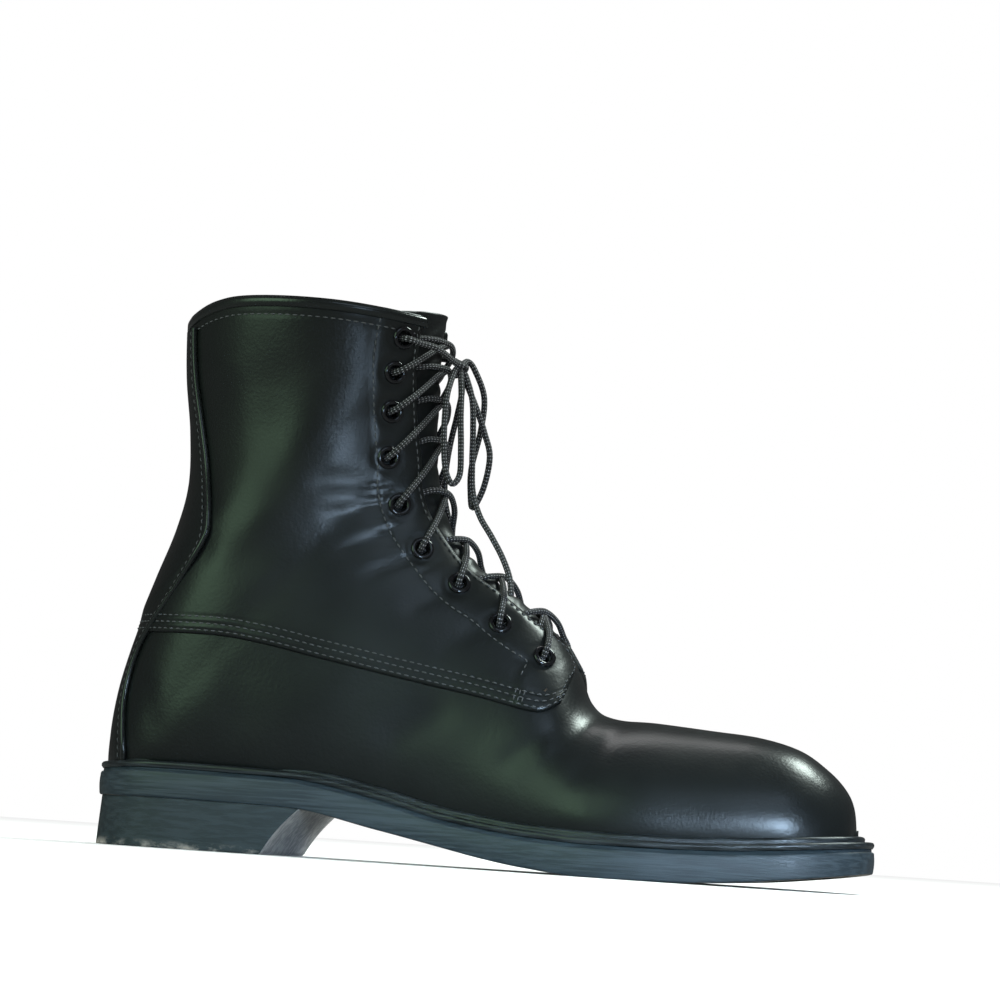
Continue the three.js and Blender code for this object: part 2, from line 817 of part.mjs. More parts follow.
const innerEnd = [
  [139.4, -1.4, 197.4],
  [142.6, -1.8, 188.0],
  [143.8, -2.2, 176.0],
  [144.4, -2.6, 163.0],
  [145.6, -3.4, 151.0],
  [149.6, -5.6, 141.0],
  [155.6, -8.4, 132.6],
  [161.2, -11.4, 124.2],
  [165.2, -14.6, 116.2],
  [167.0, -17.6, 109.0],
];
const outerEnd = [
  [136.0, 3.4, 198.7],
  [135.0, 12.2, 193.0],
  [132.4, 18.0, 184.0],
  [129.4, 22.6, 173.0],
  [127.4, 26.6, 162.0],
  [127.0, 29.8, 151.0],
  [129.4, 32.0, 140.5],
];

function cordNode(name, points) {
  const route = points.map((point) => new THREE.Vector3(...point));
  const length = new THREE.CatmullRomCurve3(route).getLength();
  const steps = Math.ceil(length / (3 * laceDiameter));
  return meshOf(name, cordAlong(route, steps, cordSides), braid);
}

// The knot, with the two strands that come up to it from the top eyelets.
function makeKnot() {
  const ball = new THREE.SphereGeometry(1, knotSides, knotRings);
  ball.scale(...knotSize);
  ball.translate(...knotCentre);
  const ridge = { place: locate([knotCentre[0] - 2 * knotSize[0], knotCentre[2]], 1).place, turn: Math.PI };
  const strands = sides.map(({ name }) => {
    const from = spotOf(name, 0);
    const points = knotLay.map(({ share, height }) => {
      const turn = from.turn + (ridge.turn - from.turn) * share;
      return pointOn(from.place + (ridge.place - from.place) * share, turn, height);
    });
    points.push(new THREE.Vector3(...knotCentre));
    return cordAlong(points, strandSteps, strandSides);
  });
  return solidFrom(ball).add(strands[0]).add(strands[1]);
}

const boot = new THREE.Group();
boot.add(meshOf("outsole", makeOutsole(), rubber));
boot.add(meshOf("heel", makeHeel(), heelRubber));
boot.add(meshOf("welt", makeWelt(), rubber));
boot.add(meshOf("insole", makeInsole(), lining));
boot.add(meshOf("upper", makeUpper(), leather));
boot.add(meshOf("tongue", makeTongue(), leather));
boot.add(meshOf("collar_binding", makeBinding(), leather));
boot.add(meshOf("backstay", makeBackstay(), leather));
for (const { name, index, centre, axis } of eyelets) {
  const eyelet = new THREE.Mesh(eyeletShape(), enamel);
  eyelet.name = `eyelet_${name}_${index + 1}`;
  eyelet.position.copy(centre);
  eyelet.quaternion.copy(turnTo(axis));
  boot.add(eyelet);
}
for (let row = 0; row < eyeletPlaces.length - 1; row++) {
  boot.add(meshOf(`lace_crossing_${row + 1}`, makeCrossing(row), braid));
}
boot.add(meshOf("lace_knot", makeKnot(), braid));
boot.add(cordNode("lace_loop_inner", innerLoop));
boot.add(cordNode("lace_loop_outer", outerLoop));
boot.add(cordNode("lace_end_inner", innerEnd));
boot.add(cordNode("lace_end_outer", outerEnd));
boot.position.x = -heelRest * soleLength;

export default boot;
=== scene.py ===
import bpy
import bmesh
import math
import numpy as np
from mathutils import Matrix


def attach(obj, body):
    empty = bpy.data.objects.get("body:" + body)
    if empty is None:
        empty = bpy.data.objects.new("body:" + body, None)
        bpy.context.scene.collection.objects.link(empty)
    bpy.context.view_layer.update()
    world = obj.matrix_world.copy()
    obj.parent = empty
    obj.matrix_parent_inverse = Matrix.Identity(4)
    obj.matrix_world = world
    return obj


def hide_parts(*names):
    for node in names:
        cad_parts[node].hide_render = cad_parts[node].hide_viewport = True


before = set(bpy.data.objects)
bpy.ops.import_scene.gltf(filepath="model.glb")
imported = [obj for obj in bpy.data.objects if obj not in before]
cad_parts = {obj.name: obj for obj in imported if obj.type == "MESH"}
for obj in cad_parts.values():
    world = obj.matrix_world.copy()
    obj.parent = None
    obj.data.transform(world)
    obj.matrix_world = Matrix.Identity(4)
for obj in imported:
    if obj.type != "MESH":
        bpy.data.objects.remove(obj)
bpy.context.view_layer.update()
print("frame loaded")

def addObject(name, data):
    thing = bpy.data.objects.new(name, data)
    bpy.context.scene.collection.objects.link(thing)
    return thing


def placeFrame(thing, right, up, back, place):
    # stands a camera or lamp at a place; it looks against the third axis
    rows = np.array([[*right, 0], [*up, 0], [*back, 0], [*place, 1]])
    thing.matrix_world = Matrix(rows.T.tolist())


# camera: almost level, turned a little to the toe, rolled so that the toe hangs lower
cameraSet = {
    "azimuth": 11.5,
    "elevation": -5.4,
    "roll": 3.8,
    "distance": 1.45,
    "widthSeen": 0.4037,  # metres across the frame at the boot's middle
    "target": (0.1200, 0.0, 0.1484),
    "sensor": 36,
    "clipStart": 0.05,
}


def makeCamera(s):
    # backwards from the target by the distance; lens = sensor times distance over the width seen
    azimuth, elevation, roll = [math.radians(s[key]) for key in ("azimuth", "elevation", "roll")]
    back = np.array([math.sin(azimuth) * math.cos(elevation),
                     -math.cos(azimuth) * math.cos(elevation), math.sin(elevation)])
    right = np.array([math.cos(azimuth), math.sin(azimuth), 0.0])
    up = np.cross(back, right)
    turnedRight = math.cos(roll) * right + math.sin(roll) * up
    turnedUp = -math.sin(roll) * right + math.cos(roll) * up
    camera = addObject("camera", bpy.data.cameras.new("camera"))
    placeFrame(camera, turnedRight, turnedUp, back, np.array(s["target"]) + s["distance"] * back)
    camera.data.sensor_width = s["sensor"]
    camera.data.lens = s["sensor"] * s["distance"] / s["widthSeen"]
    camera.data.clip_start = s["clipStart"]
    bpy.context.scene.camera = camera


makeCamera(cameraSet)

# sizes of the boot in metres; the tables below hold shares of them
size = {
    "soleLength": 0.316,
    "ballWidth": 0.099,
    "ankleWidth": 0.069,
    "collarHeight": 0.223,
    "vampHeight": 0.062,
    "seatHeight": 0.033,
    "underDepth": 0.011,
    "wall": 0.0019,
    "step": 0.0011,  # the quarters stand this much over the vamp
    "welt": 0.0028,
    "heelRest": 0.115,  # share of soleLength from the heel's back to the origin
}
originShift = size["heelRest"] * size["soleLength"]

# sections of the vamp from the toe back: x, crown, outer, inner, low, high, drop, sway
vampTable = np.array([
    (0.9745, 0.400, 0.075, 0.072, 0.28, 0.44, 0.30, -0.090),
    (0.9700, 0.550, 0.160, 0.140, 0.28, 0.44, 0.55, -0.090),
    (0.9580, 0.660, 0.240, 0.200, 0.27, 0.43, 0.75, -0.088),
    (0.9350, 0.770, 0.320, 0.265, 0.26, 0.42, 0.90, -0.084),
    (0.9000, 0.880, 0.390, 0.325, 0.25, 0.43, 1.00, -0.075),
    (0.8500, 0.945, 0.450, 0.372, 0.25, 0.45, 1.00, -0.062),
    (0.7900, 0.972, 0.492, 0.414, 0.25, 0.47, 1.00, -0.047),
    (0.7200, 1.000, 0.515, 0.452, 0.25, 0.49, 1.00, -0.032),
    (0.6600, 1.018, 0.508, 0.452, 0.25, 0.50, 1.00, -0.022),
])
# sections that fan over the instep: under, front, rise, outer, inner, low, high, sway
instepTable = np.array([
    (0.603, 0.628, 0.311, 0.485, 0.425, 0.26, 0.49, -0.016),
    (0.535, 0.606, 0.378, 0.455, 0.382, 0.26, 0.46, -0.012),
    (0.460, 0.566, 0.457, 0.420, 0.348, 0.26, 0.45, -0.008),
    (0.380, 0.518, 0.509, 0.396, 0.336, 0.25, 0.45, -0.004),
    (0.295, 0.474, 0.556, 0.385, 0.344, 0.24, 0.46, 0),
    (0.210, 0.443, 0.608, 0.378, 0.355, 0.23, 0.47, 0),
    (0.125, 0.426, 0.664, 0.374, 0.360, 0.24, 0.48, 0),
    (0.050, 0.419, 0.717, 0.370, 0.361, 0.27, 0.49, 0),
])
# sections of the heel and shaft: back, lift, front, rise, outer, inner, low, high
shaftTable = np.array([
    (0.018, 0.120, 0.415, 0.762, 0.516, 0.508, 0.31, 0.50),
    (0.013, 0.190, 0.414, 0.800, 0.513, 0.505, 0.34, 0.50),
    (0.019, 0.280, 0.413, 0.830, 0.507, 0.500, 0.37, 0.50),
    (0.036, 0.380, 0.413, 0.860, 0.500, 0.495, 0.40, 0.50),
    (0.057, 0.475, 0.413, 0.886, 0.494, 0.489, 0.43, 0.50),
    (0.079, 0.570, 0.413, 0.910, 0.493, 0.488, 0.47, 0.50),
    (0.091, 0.660, 0.413, 0.934, 0.498, 0.492, 0.50, 0.50),
    (0.088, 0.760, 0.414, 0.958, 0.512, 0.505, 0.50, 0.50),
    (0.078, 0.860, 0.415, 0.983, 0.535, 0.526, 0.50, 0.50),
    (0.074, 0.960, 0.416, 1.010, 0.558, 0.548, 0.50, 0.50),
    (0.074, 1.070, 0.417, 1.080, 0.575, 0.562, 0.50, 0.50),
])
# side profile of the sole: x, top, bottom
soleTable = np.array([
    (0.000, 1.000, 0.600),
    (0.090, 1.045, 0.600),
    (0.200, 1.035, 0.595),
    (0.270, 1.015, 0.580),
    (0.387, 0.824, 0.385),
    (0.468, 0.640, 0.235),
    (0.526, 0.557, 0.130),
    (0.577, 0.506, 0.062),
    (0.660, 0.465, 0.000),
    (0.750, 0.467, 0.000),
    (0.830, 0.492, 0.042),
    (0.930, 0.567, 0.150),
    (1.000, 0.630, 0.250),
])
# side lines of the panels, as shares of soleLength and collarHeight
facingTable = np.array([
    (0.606, 0.305), (0.611, 0.372), (0.594, 0.406), (0.558, 0.444), (0.509, 0.494),
    (0.478, 0.521), (0.450, 0.557), (0.415, 0.622), (0.401, 0.673), (0.397, 0.718),
    (0.389, 0.800), (0.386, 0.900), (0.394, 1.010),
])
quarterTable = np.array([
    (-0.050, 0.384), (0.150, 0.384), (0.217, 0.377), (0.297, 0.355), (0.397, 0.328),
    (0.503, 0.301), (0.566, 0.283), (0.589, 0.285), (0.612, 0.310),
])
collarTable = np.array([
    (0.000, 0.948), (0.060, 0.958), (0.090, 0.972), (0.130, 0.991), (0.180, 0.999),
    (0.290, 0.996), (0.400, 0.982), (0.500, 0.970),
])
backstayTable = np.array([
    (0.046, 0.120), (0.048, 0.165), (0.042, 0.265), (0.055, 0.355), (0.087, 0.433),
    (0.136, 0.545), (0.142, 0.600), (0.128, 0.703), (0.106, 0.840), (0.098, 0.932),
    (0.098, 1.000),
])
eyeletTable = np.array([
    (0.370, 0.939), (0.362, 0.875), (0.360, 0.805), (0.359, 0.722), (0.376, 0.639),
    (0.409, 0.561), (0.460, 0.501), (0.518, 0.433), (0.576, 0.379),
])


def smoothstep(value, low, high):
    # 3 t squared less 2 t cubed, with t from 0 at low to 1 at high
    t = np.clip((value - low) / (high - low), 0, 1)
    return t * t * (3 - 2 * t)


def bell(value, middle, width):
    # e to the minus square of the distance in widths
    return np.exp(-((value - middle) / width) ** 2)


def slopesOf(table, column):
    # slope at each row: the harmonic mean of the slopes beside it, or 0 where they differ in sign
    rise = np.diff(table[:, column]) / np.diff(table[:, 0])
    product = rise[:-1] * rise[1:]
    middle = np.where(product > 0, 2 * product / np.where(product > 0, rise[:-1] + rise[1:], 1), 0)
    return np.concatenate([rise[:1], middle, rise[-1:]])


def steadyAt(table, column, x):
    # a cubic through the rows that never overshoots, read at x
    slopes = slopesOf(table, column)
    index = np.clip(np.searchsorted(table[:, 0], x, side="right") - 1, 0, len(table) - 2)
    span = table[index + 1, 0] - table[index, 0]
    t = np.clip((x - table[index, 0]) / span, 0, 1)
    rise = table[index + 1, column] - table[index, column]
    start, end = slopes[index] * span, slopes[index + 1] * span
    square, cube = 3 * rise - 2 * start - end, start + end - 2 * rise
    return table[index, column] + t * (start + t * (square + t * cube))


def soleTop(x):
    # height of the sole's upper face, in metres, at x from the heel's back
    return size["seatHeight"] * steadyAt(soleTable, 1, x / size["soleLength"])


def soleBottom(x):
    return size["seatHeight"] * steadyAt(soleTable, 2, x / size["soleLength"])


def seatLine(x):
    return soleTop(x) - size["welt"]


def sectionRows():
    # columns: under x, under z, over x, over z, outer, inner, low, high, sway
    length, ball, height = size["soleLength"], size["ballWidth"], size["collarHeight"]
    v, n, s = vampTable, instepTable, shaftTable
    vamp = np.column_stack([
        v[:, 0] * length, seatLine(v[:, 0] * length) - v[:, 6] * size["underDepth"],
        v[:, 0] * length, v[:, 1] * size["vampHeight"],
        v[:, 2] * ball, v[:, 3] * ball, v[:, 4], v[:, 5], v[:, 7] * ball])
    instep = np.column_stack([
        n[:, 0] * length, seatLine(n[:, 0] * length) - size["underDepth"],
        n[:, 1] * length, n[:, 2] * height,
        n[:, 3] * ball, n[:, 4] * ball, n[:, 5], n[:, 6], n[:, 7] * ball])
    shaft = np.column_stack([
        s[:, 0] * length, s[:, 1] * height, s[:, 2] * length, s[:, 3] * height,
        s[:, 4] * size["ankleWidth"], s[:, 5] * size["ankleWidth"], s[:, 6], s[:, 7], 0 * s[:, 0]])
    return np.vstack([vamp, instep, shaft])


sections = sectionRows()
lastSection = len(sections) - 1


def smoothRows(rows, place):
    # Catmull-Rom: a cubic through the four rows about each place
    last = len(rows) - 1
    index = np.minimum(place.astype(int), last - 1)
    t = (place - index)[..., None]
    a, b = rows[np.maximum(index - 1, 0)], rows[index]
    c, d = rows[index + 1], rows[np.minimum(index + 2, last)]
    return b + 0.5 * t * (c - a + t * (2 * a - 5 * b + 4 * c - d + t * (3 * b - a - 3 * c + d)))


def blendRows(place):
    return smoothRows(sections, np.clip(place, 0, lastSection))


def endShift(place, column, side, reach=0.05):
    # unit vector square to the line that a chord's end follows, taken between two close sections
    ends = slice(column, column + 2)
    step = blendRows(place + reach)[..., ends] - blendRows(np.maximum(place - reach, 0))[..., ends]
    length = np.linalg.norm(step, axis=-1, keepdims=True)
    return side * np.stack([-step[..., 1], step[..., 0]], axis=-1) / length


def formPoint(place, turn, offset=0.0):
    # place runs from toe to collar; turn goes round a section from its rear end over the outer side.
    # the point is on the chord at (1 - cos turn) / 2, out by half width times s^low (1 - s)^high
    place, turn, offset = np.broadcast_arrays(*[np.asarray(a, float) for a in (place, turn, offset)])
    row = blendRows(place)
    under = row[..., 0:2] + offset[..., None] * endShift(place, 0, 1)
    over = row[..., 2:4] + offset[..., None] * endShift(place, 2, -1)
    share = np.clip((1 - np.cos(turn)) / 2, 0, 1)
    low, high = row[..., 6], row[..., 7]
    peak = low / (low + high)
    bulge = share ** low * (1 - share) ** high / (peak ** low * (1 - peak) ** high)
    half = np.where(np.sin(turn) >= 0, row[..., 4] + offset, -(row[..., 5] + offset))
    chord = under + (over - under) * share[..., None]
    return np.stack([chord[..., 0] - originShift, row[..., 8] + half * bulge, chord[..., 1]], axis=-1)


def formNormal(place, turn, reach=0.02):
    # cross product of two short steps over the form
    alongPlace = formPoint(place + reach, turn) - formPoint(np.maximum(place - reach, 0), turn)
    alongTurn = formPoint(place, turn + reach) - formPoint(place, turn - reach)
    normal = np.cross(alongPlace, alongTurn)
    return normal / np.maximum(np.linalg.norm(normal, axis=-1, keepdims=True), 1e-12)


def bisect(test, shape, low, high, steps=36):
    # halves the span from low to high, for a whole array; test says where the answer is still ahead
    low, high = np.full(shape, float(low)), np.full(shape, float(high))
    for _ in range(steps):
        middle = (low + high) / 2
        ahead = test(middle)
        low, high = np.where(ahead, middle, low), np.where(ahead, high, middle)
    return (low + high) / 2


def distances(points):
    # running length along a line of points
    return np.concatenate([[0], np.cumsum(np.linalg.norm(np.diff(points, axis=0), axis=1))])


def readAlong(spots, along, values):
    # each column of the values, read at the spots of a running length
    return np.column_stack([np.interp(spots, along, column) for column in values.T])


def evenly(points, count):
    # points at equal steps along the same line
    along = distances(points)
    return readAlong(np.linspace(0, along[-1], count), along, points)


def curveThrough(points, count):
    # a smooth curve through given points, evenly spaced along its length
    points = np.asarray(points, float)
    return evenly(smoothRows(points, np.linspace(0, len(points) - 1, 40 * len(points))), count)


def sideLine(table):
    # a side line in metres, from its shares of length and height
    return curveThrough(table * np.array([size["soleLength"], size["collarHeight"]]), 400)


def lineHeight(line, x):
    return np.interp(x, line[:, 0], line[:, 1])


facingLine, quarterLine = sideLine(facingTable), sideLine(quarterTable)
collarLine, backstayLine = sideLine(collarTable), sideLine(backstayTable)


def sideOf(place, turn):
    # x from the heel's back, and z
    point = formPoint(place, turn)
    return point[..., 0] + originShift, point[..., 2]


def placeAtHeight(turn, heightAt, low, high):
    # the place where the form reaches a line of the side view at this turn
    def below(place):
        x, z = sideOf(place, turn)
        return z < heightAt(x)
    return bisect(below, np.shape(turn), low, high)


quarterSpan, collarSpan = (9.2, 21.5), (20.0, lastSection)  # sections that hold each edge


def quarterPlace(turn):
    return placeAtHeight(turn, lambda x: lineHeight(quarterLine, x), *quarterSpan)


def collarPlace(turn, drop=0.0):
    return placeAtHeight(turn, lambda x: lineHeight(collarLine, x) - drop, *collarSpan)


def mirrorTurn(turn, side):
    return turn if side > 0 else 2 * math.pi - turn


def chordOf(place):
    # a section's lower end and the way from it to the upper end, in the side view
    row = blendRows(place)
    return row[..., 0], row[..., 1], row[..., 2] - row[..., 0], row[..., 3] - row[..., 1]


def locate(x, z, side):
    # place by halving to the chord that holds the point, turn by its share of that chord
    x, z = np.broadcast_arrays(np.asarray(x, float), np.asarray(z, float))
    def ahead(place):
        lowX, lowZ, chordX, chordZ = chordOf(place)
        return chordX * (z - lowZ) - chordZ * (x - lowX) > 0
    place = bisect(ahead, x.shape, 0, lastSection)
    lowX, lowZ, chordX, chordZ = chordOf(place)
    along = ((x - lowX) * chordX + (z - lowZ) * chordZ) / (chordX ** 2 + chordZ ** 2)
    return place, mirrorTurn(np.arccos(np.clip(1 - 2 * along, -1, 1)), side)


facingSet = {
    "foot": 0.306,  # share of collarHeight
    "gap": 0.06,  # turn kept free at the ridge
}


def facingPath(s):
    # the facing's edge as place and turn, from its front foot up to the collar
    shown = facingLine[facingLine[:, 1] > s["foot"] * size["collarHeight"]]
    place, turn = locate(shown[:, 0], shown[:, 1], 1)
    return np.column_stack([np.maximum.accumulate(place), np.minimum(turn, math.pi - s["gap"])])


facing = facingPath(facingSet)


def facingTurn(place):
    return np.interp(place, facing[:, 0], facing[:, 1])


def seatTurn(place):
    # the turn where each section reaches the seat
    def below(turn):
        x, z = sideOf(place, turn)
        return z < seatLine(x)
    return bisect(below, np.shape(place), 0, math.pi / 2)


def seatEndPlace():
    # the place where the back seam meets the seat
    def below(place):
        lowX, lowZ, _, _ = chordOf(place)
        return lowZ < seatLine(lowX)
    return float(bisect(below, (), 17.0, 19.0))


heelEnd = seatEndPlace()
print("form ready")


# meshes
def gridFaces(rows, columns):
    # the four corners of every cell of a grid
    first = (np.arange(rows - 1)[:, None] * columns + np.arange(columns - 1)[None, :]).ravel()
    return np.column_stack([first, first + 1, first + columns + 1, first + columns])


def closeRing(grid):
    return np.concatenate([grid, grid[:, :1]], axis=1)


def makePiece(name, points, faces, materials, uv=None, merge=0.0, closed=False):
    # merge joins doubles closer than it; a closed piece has its faces turned outward
    mesh = bpy.data.meshes.new(name)
    mesh.from_pydata(np.asarray(points, float).reshape(-1, 3).tolist(), [], faces.tolist())
    if uv is not None:
        layer = mesh.uv_layers.new(name="weave")
        corners = np.empty(len(mesh.loops), int)
        mesh.loops.foreach_get("vertex_index", corners)
        layer.data.foreach_set("uv", uv.reshape(-1, 2)[corners].ravel())
    if merge:
        work = bmesh.new()
        work.from_mesh(mesh)
        bmesh.ops.remove_doubles(work, verts=work.verts, dist=merge)
        bmesh.ops.dissolve_degenerate(work, edges=work.edges, dist=merge / 2)
        if closed:
            bmesh.ops.recalc_face_normals(work, faces=work.faces)
        work.to_mesh(mesh)
        work.free()
    mesh.polygons.foreach_set("use_smooth", np.ones(len(mesh.polygons), bool))
    mesh.validate()
    for material in materials:
        mesh.materials.append(material)
    piece = addObject(name, mesh)
    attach(piece, "root")
    return piece


def makeClosed(name, points, faces, material, uv=None, merge=1e-7):
    materials = material if isinstance(material, list) else [material]
    return makePiece(name, points, faces, materials, uv, merge, True)


def makeLeatherPiece(name, grid, faces, outer, lining, merge, thickness):
    # an open sheet of leather, thickened inward, its inner face in the lining
    piece = makePiece(name, grid, faces, [outer, lining], merge=merge)
    wall = piece.modifiers.new("wall", "SOLIDIFY")
    wall.thickness = thickness
    wall.offset = -1
    wall.material_offset = 1
    wall.use_even_offset = False
    return piece


def polygonValues(mesh, key):
    # the normal or centre of each face
    values = np.empty(3 * len(mesh.polygons))
    mesh.polygons.foreach_get(key, values)
    return values.reshape(-1, 3)


def faceOut(grid, outward):
    # the grid's faces, turned over if they look against the outward directions
    faces = gridFaces(*grid.shape[:2])
    p = grid.reshape(-1, 3)
    n = np.cross(p[faces[:, 2]] - p[faces[:, 0]], p[faces[:, 3]] - p[faces[:, 1]])
    o = outward.reshape(-1, 3)[faces[:, 0]]
    return faces if np.sum(n * o) > 0 else faces[:, ::-1]


def circleAt(angle, first, second):
    # cosine of the angle times the first direction plus sine times the second
    return np.cos(angle)[:, None] * first + np.sin(angle)[:, None] * second


def tube(path, radius, sides):
    # a circle carried along the path, its frame turned as little as can be; returns points, faces, uv
    tangent = np.gradient(path, axis=0)
    tangent /= np.linalg.norm(tangent, axis=1, keepdims=True)
    up = np.empty_like(path)
    guess = np.cross(tangent[0], [0.3, 0.5, 0.8])
    for i in range(len(path)):
        guess = guess - tangent[i] * np.dot(guess, tangent[i])
        guess = guess / np.linalg.norm(guess)
        up[i] = guess
    side = np.cross(tangent, up)
    ring = circleAt(np.linspace(0, 2 * math.pi, sides + 1), up[:, None], side[:, None])
    points = path[:, None, :] + radius * ring
    u, v = np.broadcast_arrays(distances(path)[:, None], np.linspace(0, 1, sides + 1)[None, :])
    uv = np.stack([u, v], axis=-1)
    capStart, capEnd = [np.broadcast_to(end, points[:1].shape) for end in (path[0], path[-1])]
    points = np.concatenate([capStart, points, capEnd])
    return points, gridFaces(len(path) + 2, sides + 1), np.concatenate([uv[:1], uv, uv[-1:]])


def joinParts(parts):
    # several meshes as one, each part's corner numbers moved on by the points before it
    points, faces, uvs, count = [], [], [], 0
    for p, f, t in parts:
        points.append(p.reshape(-1, 3))
        faces.append(f + count)
        uvs.append(t.reshape(-1, 2))
        count += len(points[-1])
    return np.vstack(points), np.vstack(faces), np.vstack(uvs)


# shader node groups used by several materials
def newGroup(name, inputs, outputs):
    group = bpy.data.node_groups.new(name, "ShaderNodeTree")
    for label, kind, value in inputs:
        socket = group.interface.new_socket(label, in_out="INPUT", socket_type=kind)
        if value is not None:
            socket.default_value = value
    for label, kind in outputs:
        group.interface.new_socket(label, in_out="OUTPUT", socket_type=kind)
    start, end = group.nodes.new("NodeGroupInput"), group.nodes.new("NodeGroupOutput")
    return group, start, end


def addNode(tree, kind, values=None, **settings):
    node = tree.nodes.new(kind)
    for key, value in settings.items():
        setattr(node, key, value)
    for key, value in (values or {}).items():
        node.inputs[key].default_value = value
    return node


def mathNode(tree, operation, *inputs):
    # each input is a socket or a number
    node = addNode(tree, "ShaderNodeMath", operation=operation)
    for spot, value in zip(node.inputs, inputs):
        if isinstance(value, (int, float)):
            spot.default_value = value
        else:
            tree.links.new(value, spot)
    return node.outputs[0]


def objectPlace(tree, operation, socket, spot):
    # Object coordinates, scaled or stretched by a socket
    place = addNode(tree, "ShaderNodeTexCoord")
    node = addNode(tree, "ShaderNodeVectorMath", operation=operation)
    tree.links.new(place.outputs["Object"], node.inputs[0])
    tree.links.new(socket, node.inputs[spot])
    return node.outputs[0]


def makeGrainGroup():
    # fine height: distance to the nearest cell, plus noise; the broad noise shifts colour and sheen
    group, start, end = newGroup(
        "leatherGrain",
        [("Scale", "NodeSocketFloat", 1.0), ("Depth", "NodeSocketFloat", 1.0)],
        [("Height", "NodeSocketFloat"), ("Cloud", "NodeSocketFloat")])
    link = group.links.new
    scaled = objectPlace(group, "SCALE", start.outputs["Scale"], "Scale")
    cells = addNode(group, "ShaderNodeTexVoronoi", {"Scale": 900.0}, feature="SMOOTH_F1")
    noise = addNode(group, "ShaderNodeTexNoise", {"Scale": 420.0, "Detail": 4.0, "Roughness": 0.6})
    cloud = addNode(group, "ShaderNodeTexNoise", {"Scale": 22.0, "Detail": 3.0, "Roughness": 0.55})
    for node in (cells, noise, cloud):
        link(scaled, node.inputs["Vector"])
    height = mathNode(group, "MULTIPLY_ADD", cells.outputs["Distance"], 0.55, noise.outputs["Fac"])
    link(mathNode(group, "MULTIPLY", height, start.outputs["Depth"]), end.inputs["Height"])
    link(cloud.outputs["Fac"], end.inputs["Cloud"])
    return group


def makeWearGroup(softness=0.14):
    # scattered scuffs and dust: stretched noise, cut to what lies over the threshold
    group, start, end = newGroup(
        "scuffs",
        [("Scale", "NodeSocketFloat", 1.0), ("Threshold", "NodeSocketFloat", 0.6),
         ("Stretch", "NodeSocketVector", (1.0, 1.0, 1.0))],
        [("Mask", "NodeSocketFloat")])
    link = group.links.new
    stretched = objectPlace(group, "MULTIPLY", start.outputs["Stretch"], 1)
    noise = addNode(group, "ShaderNodeTexNoise", {"Detail": 6.0, "Roughness": 0.65})
    link(stretched, noise.inputs["Vector"])
    link(start.outputs["Scale"], noise.inputs["Scale"])
    cut = addNode(group, "ShaderNodeMapRange", {"To Min": 0.0, "To Max": 1.0})
    link(noise.outputs["Fac"], cut.inputs["Value"])
    link(start.outputs["Threshold"], cut.inputs["From Min"])
    link(mathNode(group, "ADD", start.outputs["Threshold"], softness), cut.inputs["From Max"])
    link(cut.outputs["Result"], end.inputs["Mask"])
    return group


grainGroup, wearGroup = makeGrainGroup(), makeWearGroup()


def startMaterial(name, roughness=0.5, metallic=0.0):
    material = bpy.data.materials.new(name)
    material.use_nodes = True
    shader = material.node_tree.nodes["Principled BSDF"]
    shader.inputs["Roughness"].default_value = roughness
    shader.inputs["Metallic"].default_value = metallic
    return material, material.node_tree, shader


def placeGroup(tree, group, values):
    node = tree.nodes.new("ShaderNodeGroup")
    node.node_tree = group
    for key, value in values.items():
        node.inputs[key].default_value = value
    return node


def wearMask(tree, scale, threshold, stretch):
    node = placeGroup(tree, wearGroup, {"Scale": scale, "Threshold": threshold, "Stretch": stretch})
    return node.outputs["Mask"]


def blendColour(tree, mask, first, second):
    # either colour may be a socket or four numbers
    mix = addNode(tree, "ShaderNodeMix", data_type="RGBA")
    tree.links.new(mask, mix.inputs[0])
    for spot, colour in ((6, first), (7, second)):
        if isinstance(colour, tuple):
            mix.inputs[spot].default_value = colour
        else:
            tree.links.new(colour, mix.inputs[spot])
    return mix.outputs[2]


def mapRange(tree, value, low, high, toLow, toHigh):
    span = {"From Min": low, "From Max": high, "To Min": toLow, "To Max": toHigh}
    node = addNode(tree, "ShaderNodeMapRange", span)
    tree.links.new(value, node.inputs["Value"])
    return node.outputs["Result"]


def addBump(tree, shader, height, strength, distance):
    bump = addNode(tree, "ShaderNodeBump", {"Strength": strength, "Distance": distance})
    tree.links.new(height, bump.inputs["Height"])
    tree.links.new(bump.outputs["Normal"], shader.inputs["Normal"])


leatherSet = {
    "dark": (0.0045, 0.0055, 0.0062, 1),
    "green": (0.0060, 0.0078, 0.0068, 1),
    "scuff": (0.040, 0.044, 0.048, 1),
    "scuffs": (46.0, 0.64, (0.6, 1.0, 1.3)),  # scale, threshold, stretch
    "fineScuffs": (210.0, 0.60, (0.25, 1.0, 1.0)),
    "scuffRough": 0.25,
    "grain": 1.0,
    "depth": 1.0,
    "roughLow": 0.30,
    "roughHigh": 0.44,
    "coat": 0.11,
    "coatRough": 0.22,
    "specular": 0.36,
    "bump": (0.28, 0.0003),  # strength, distance
}


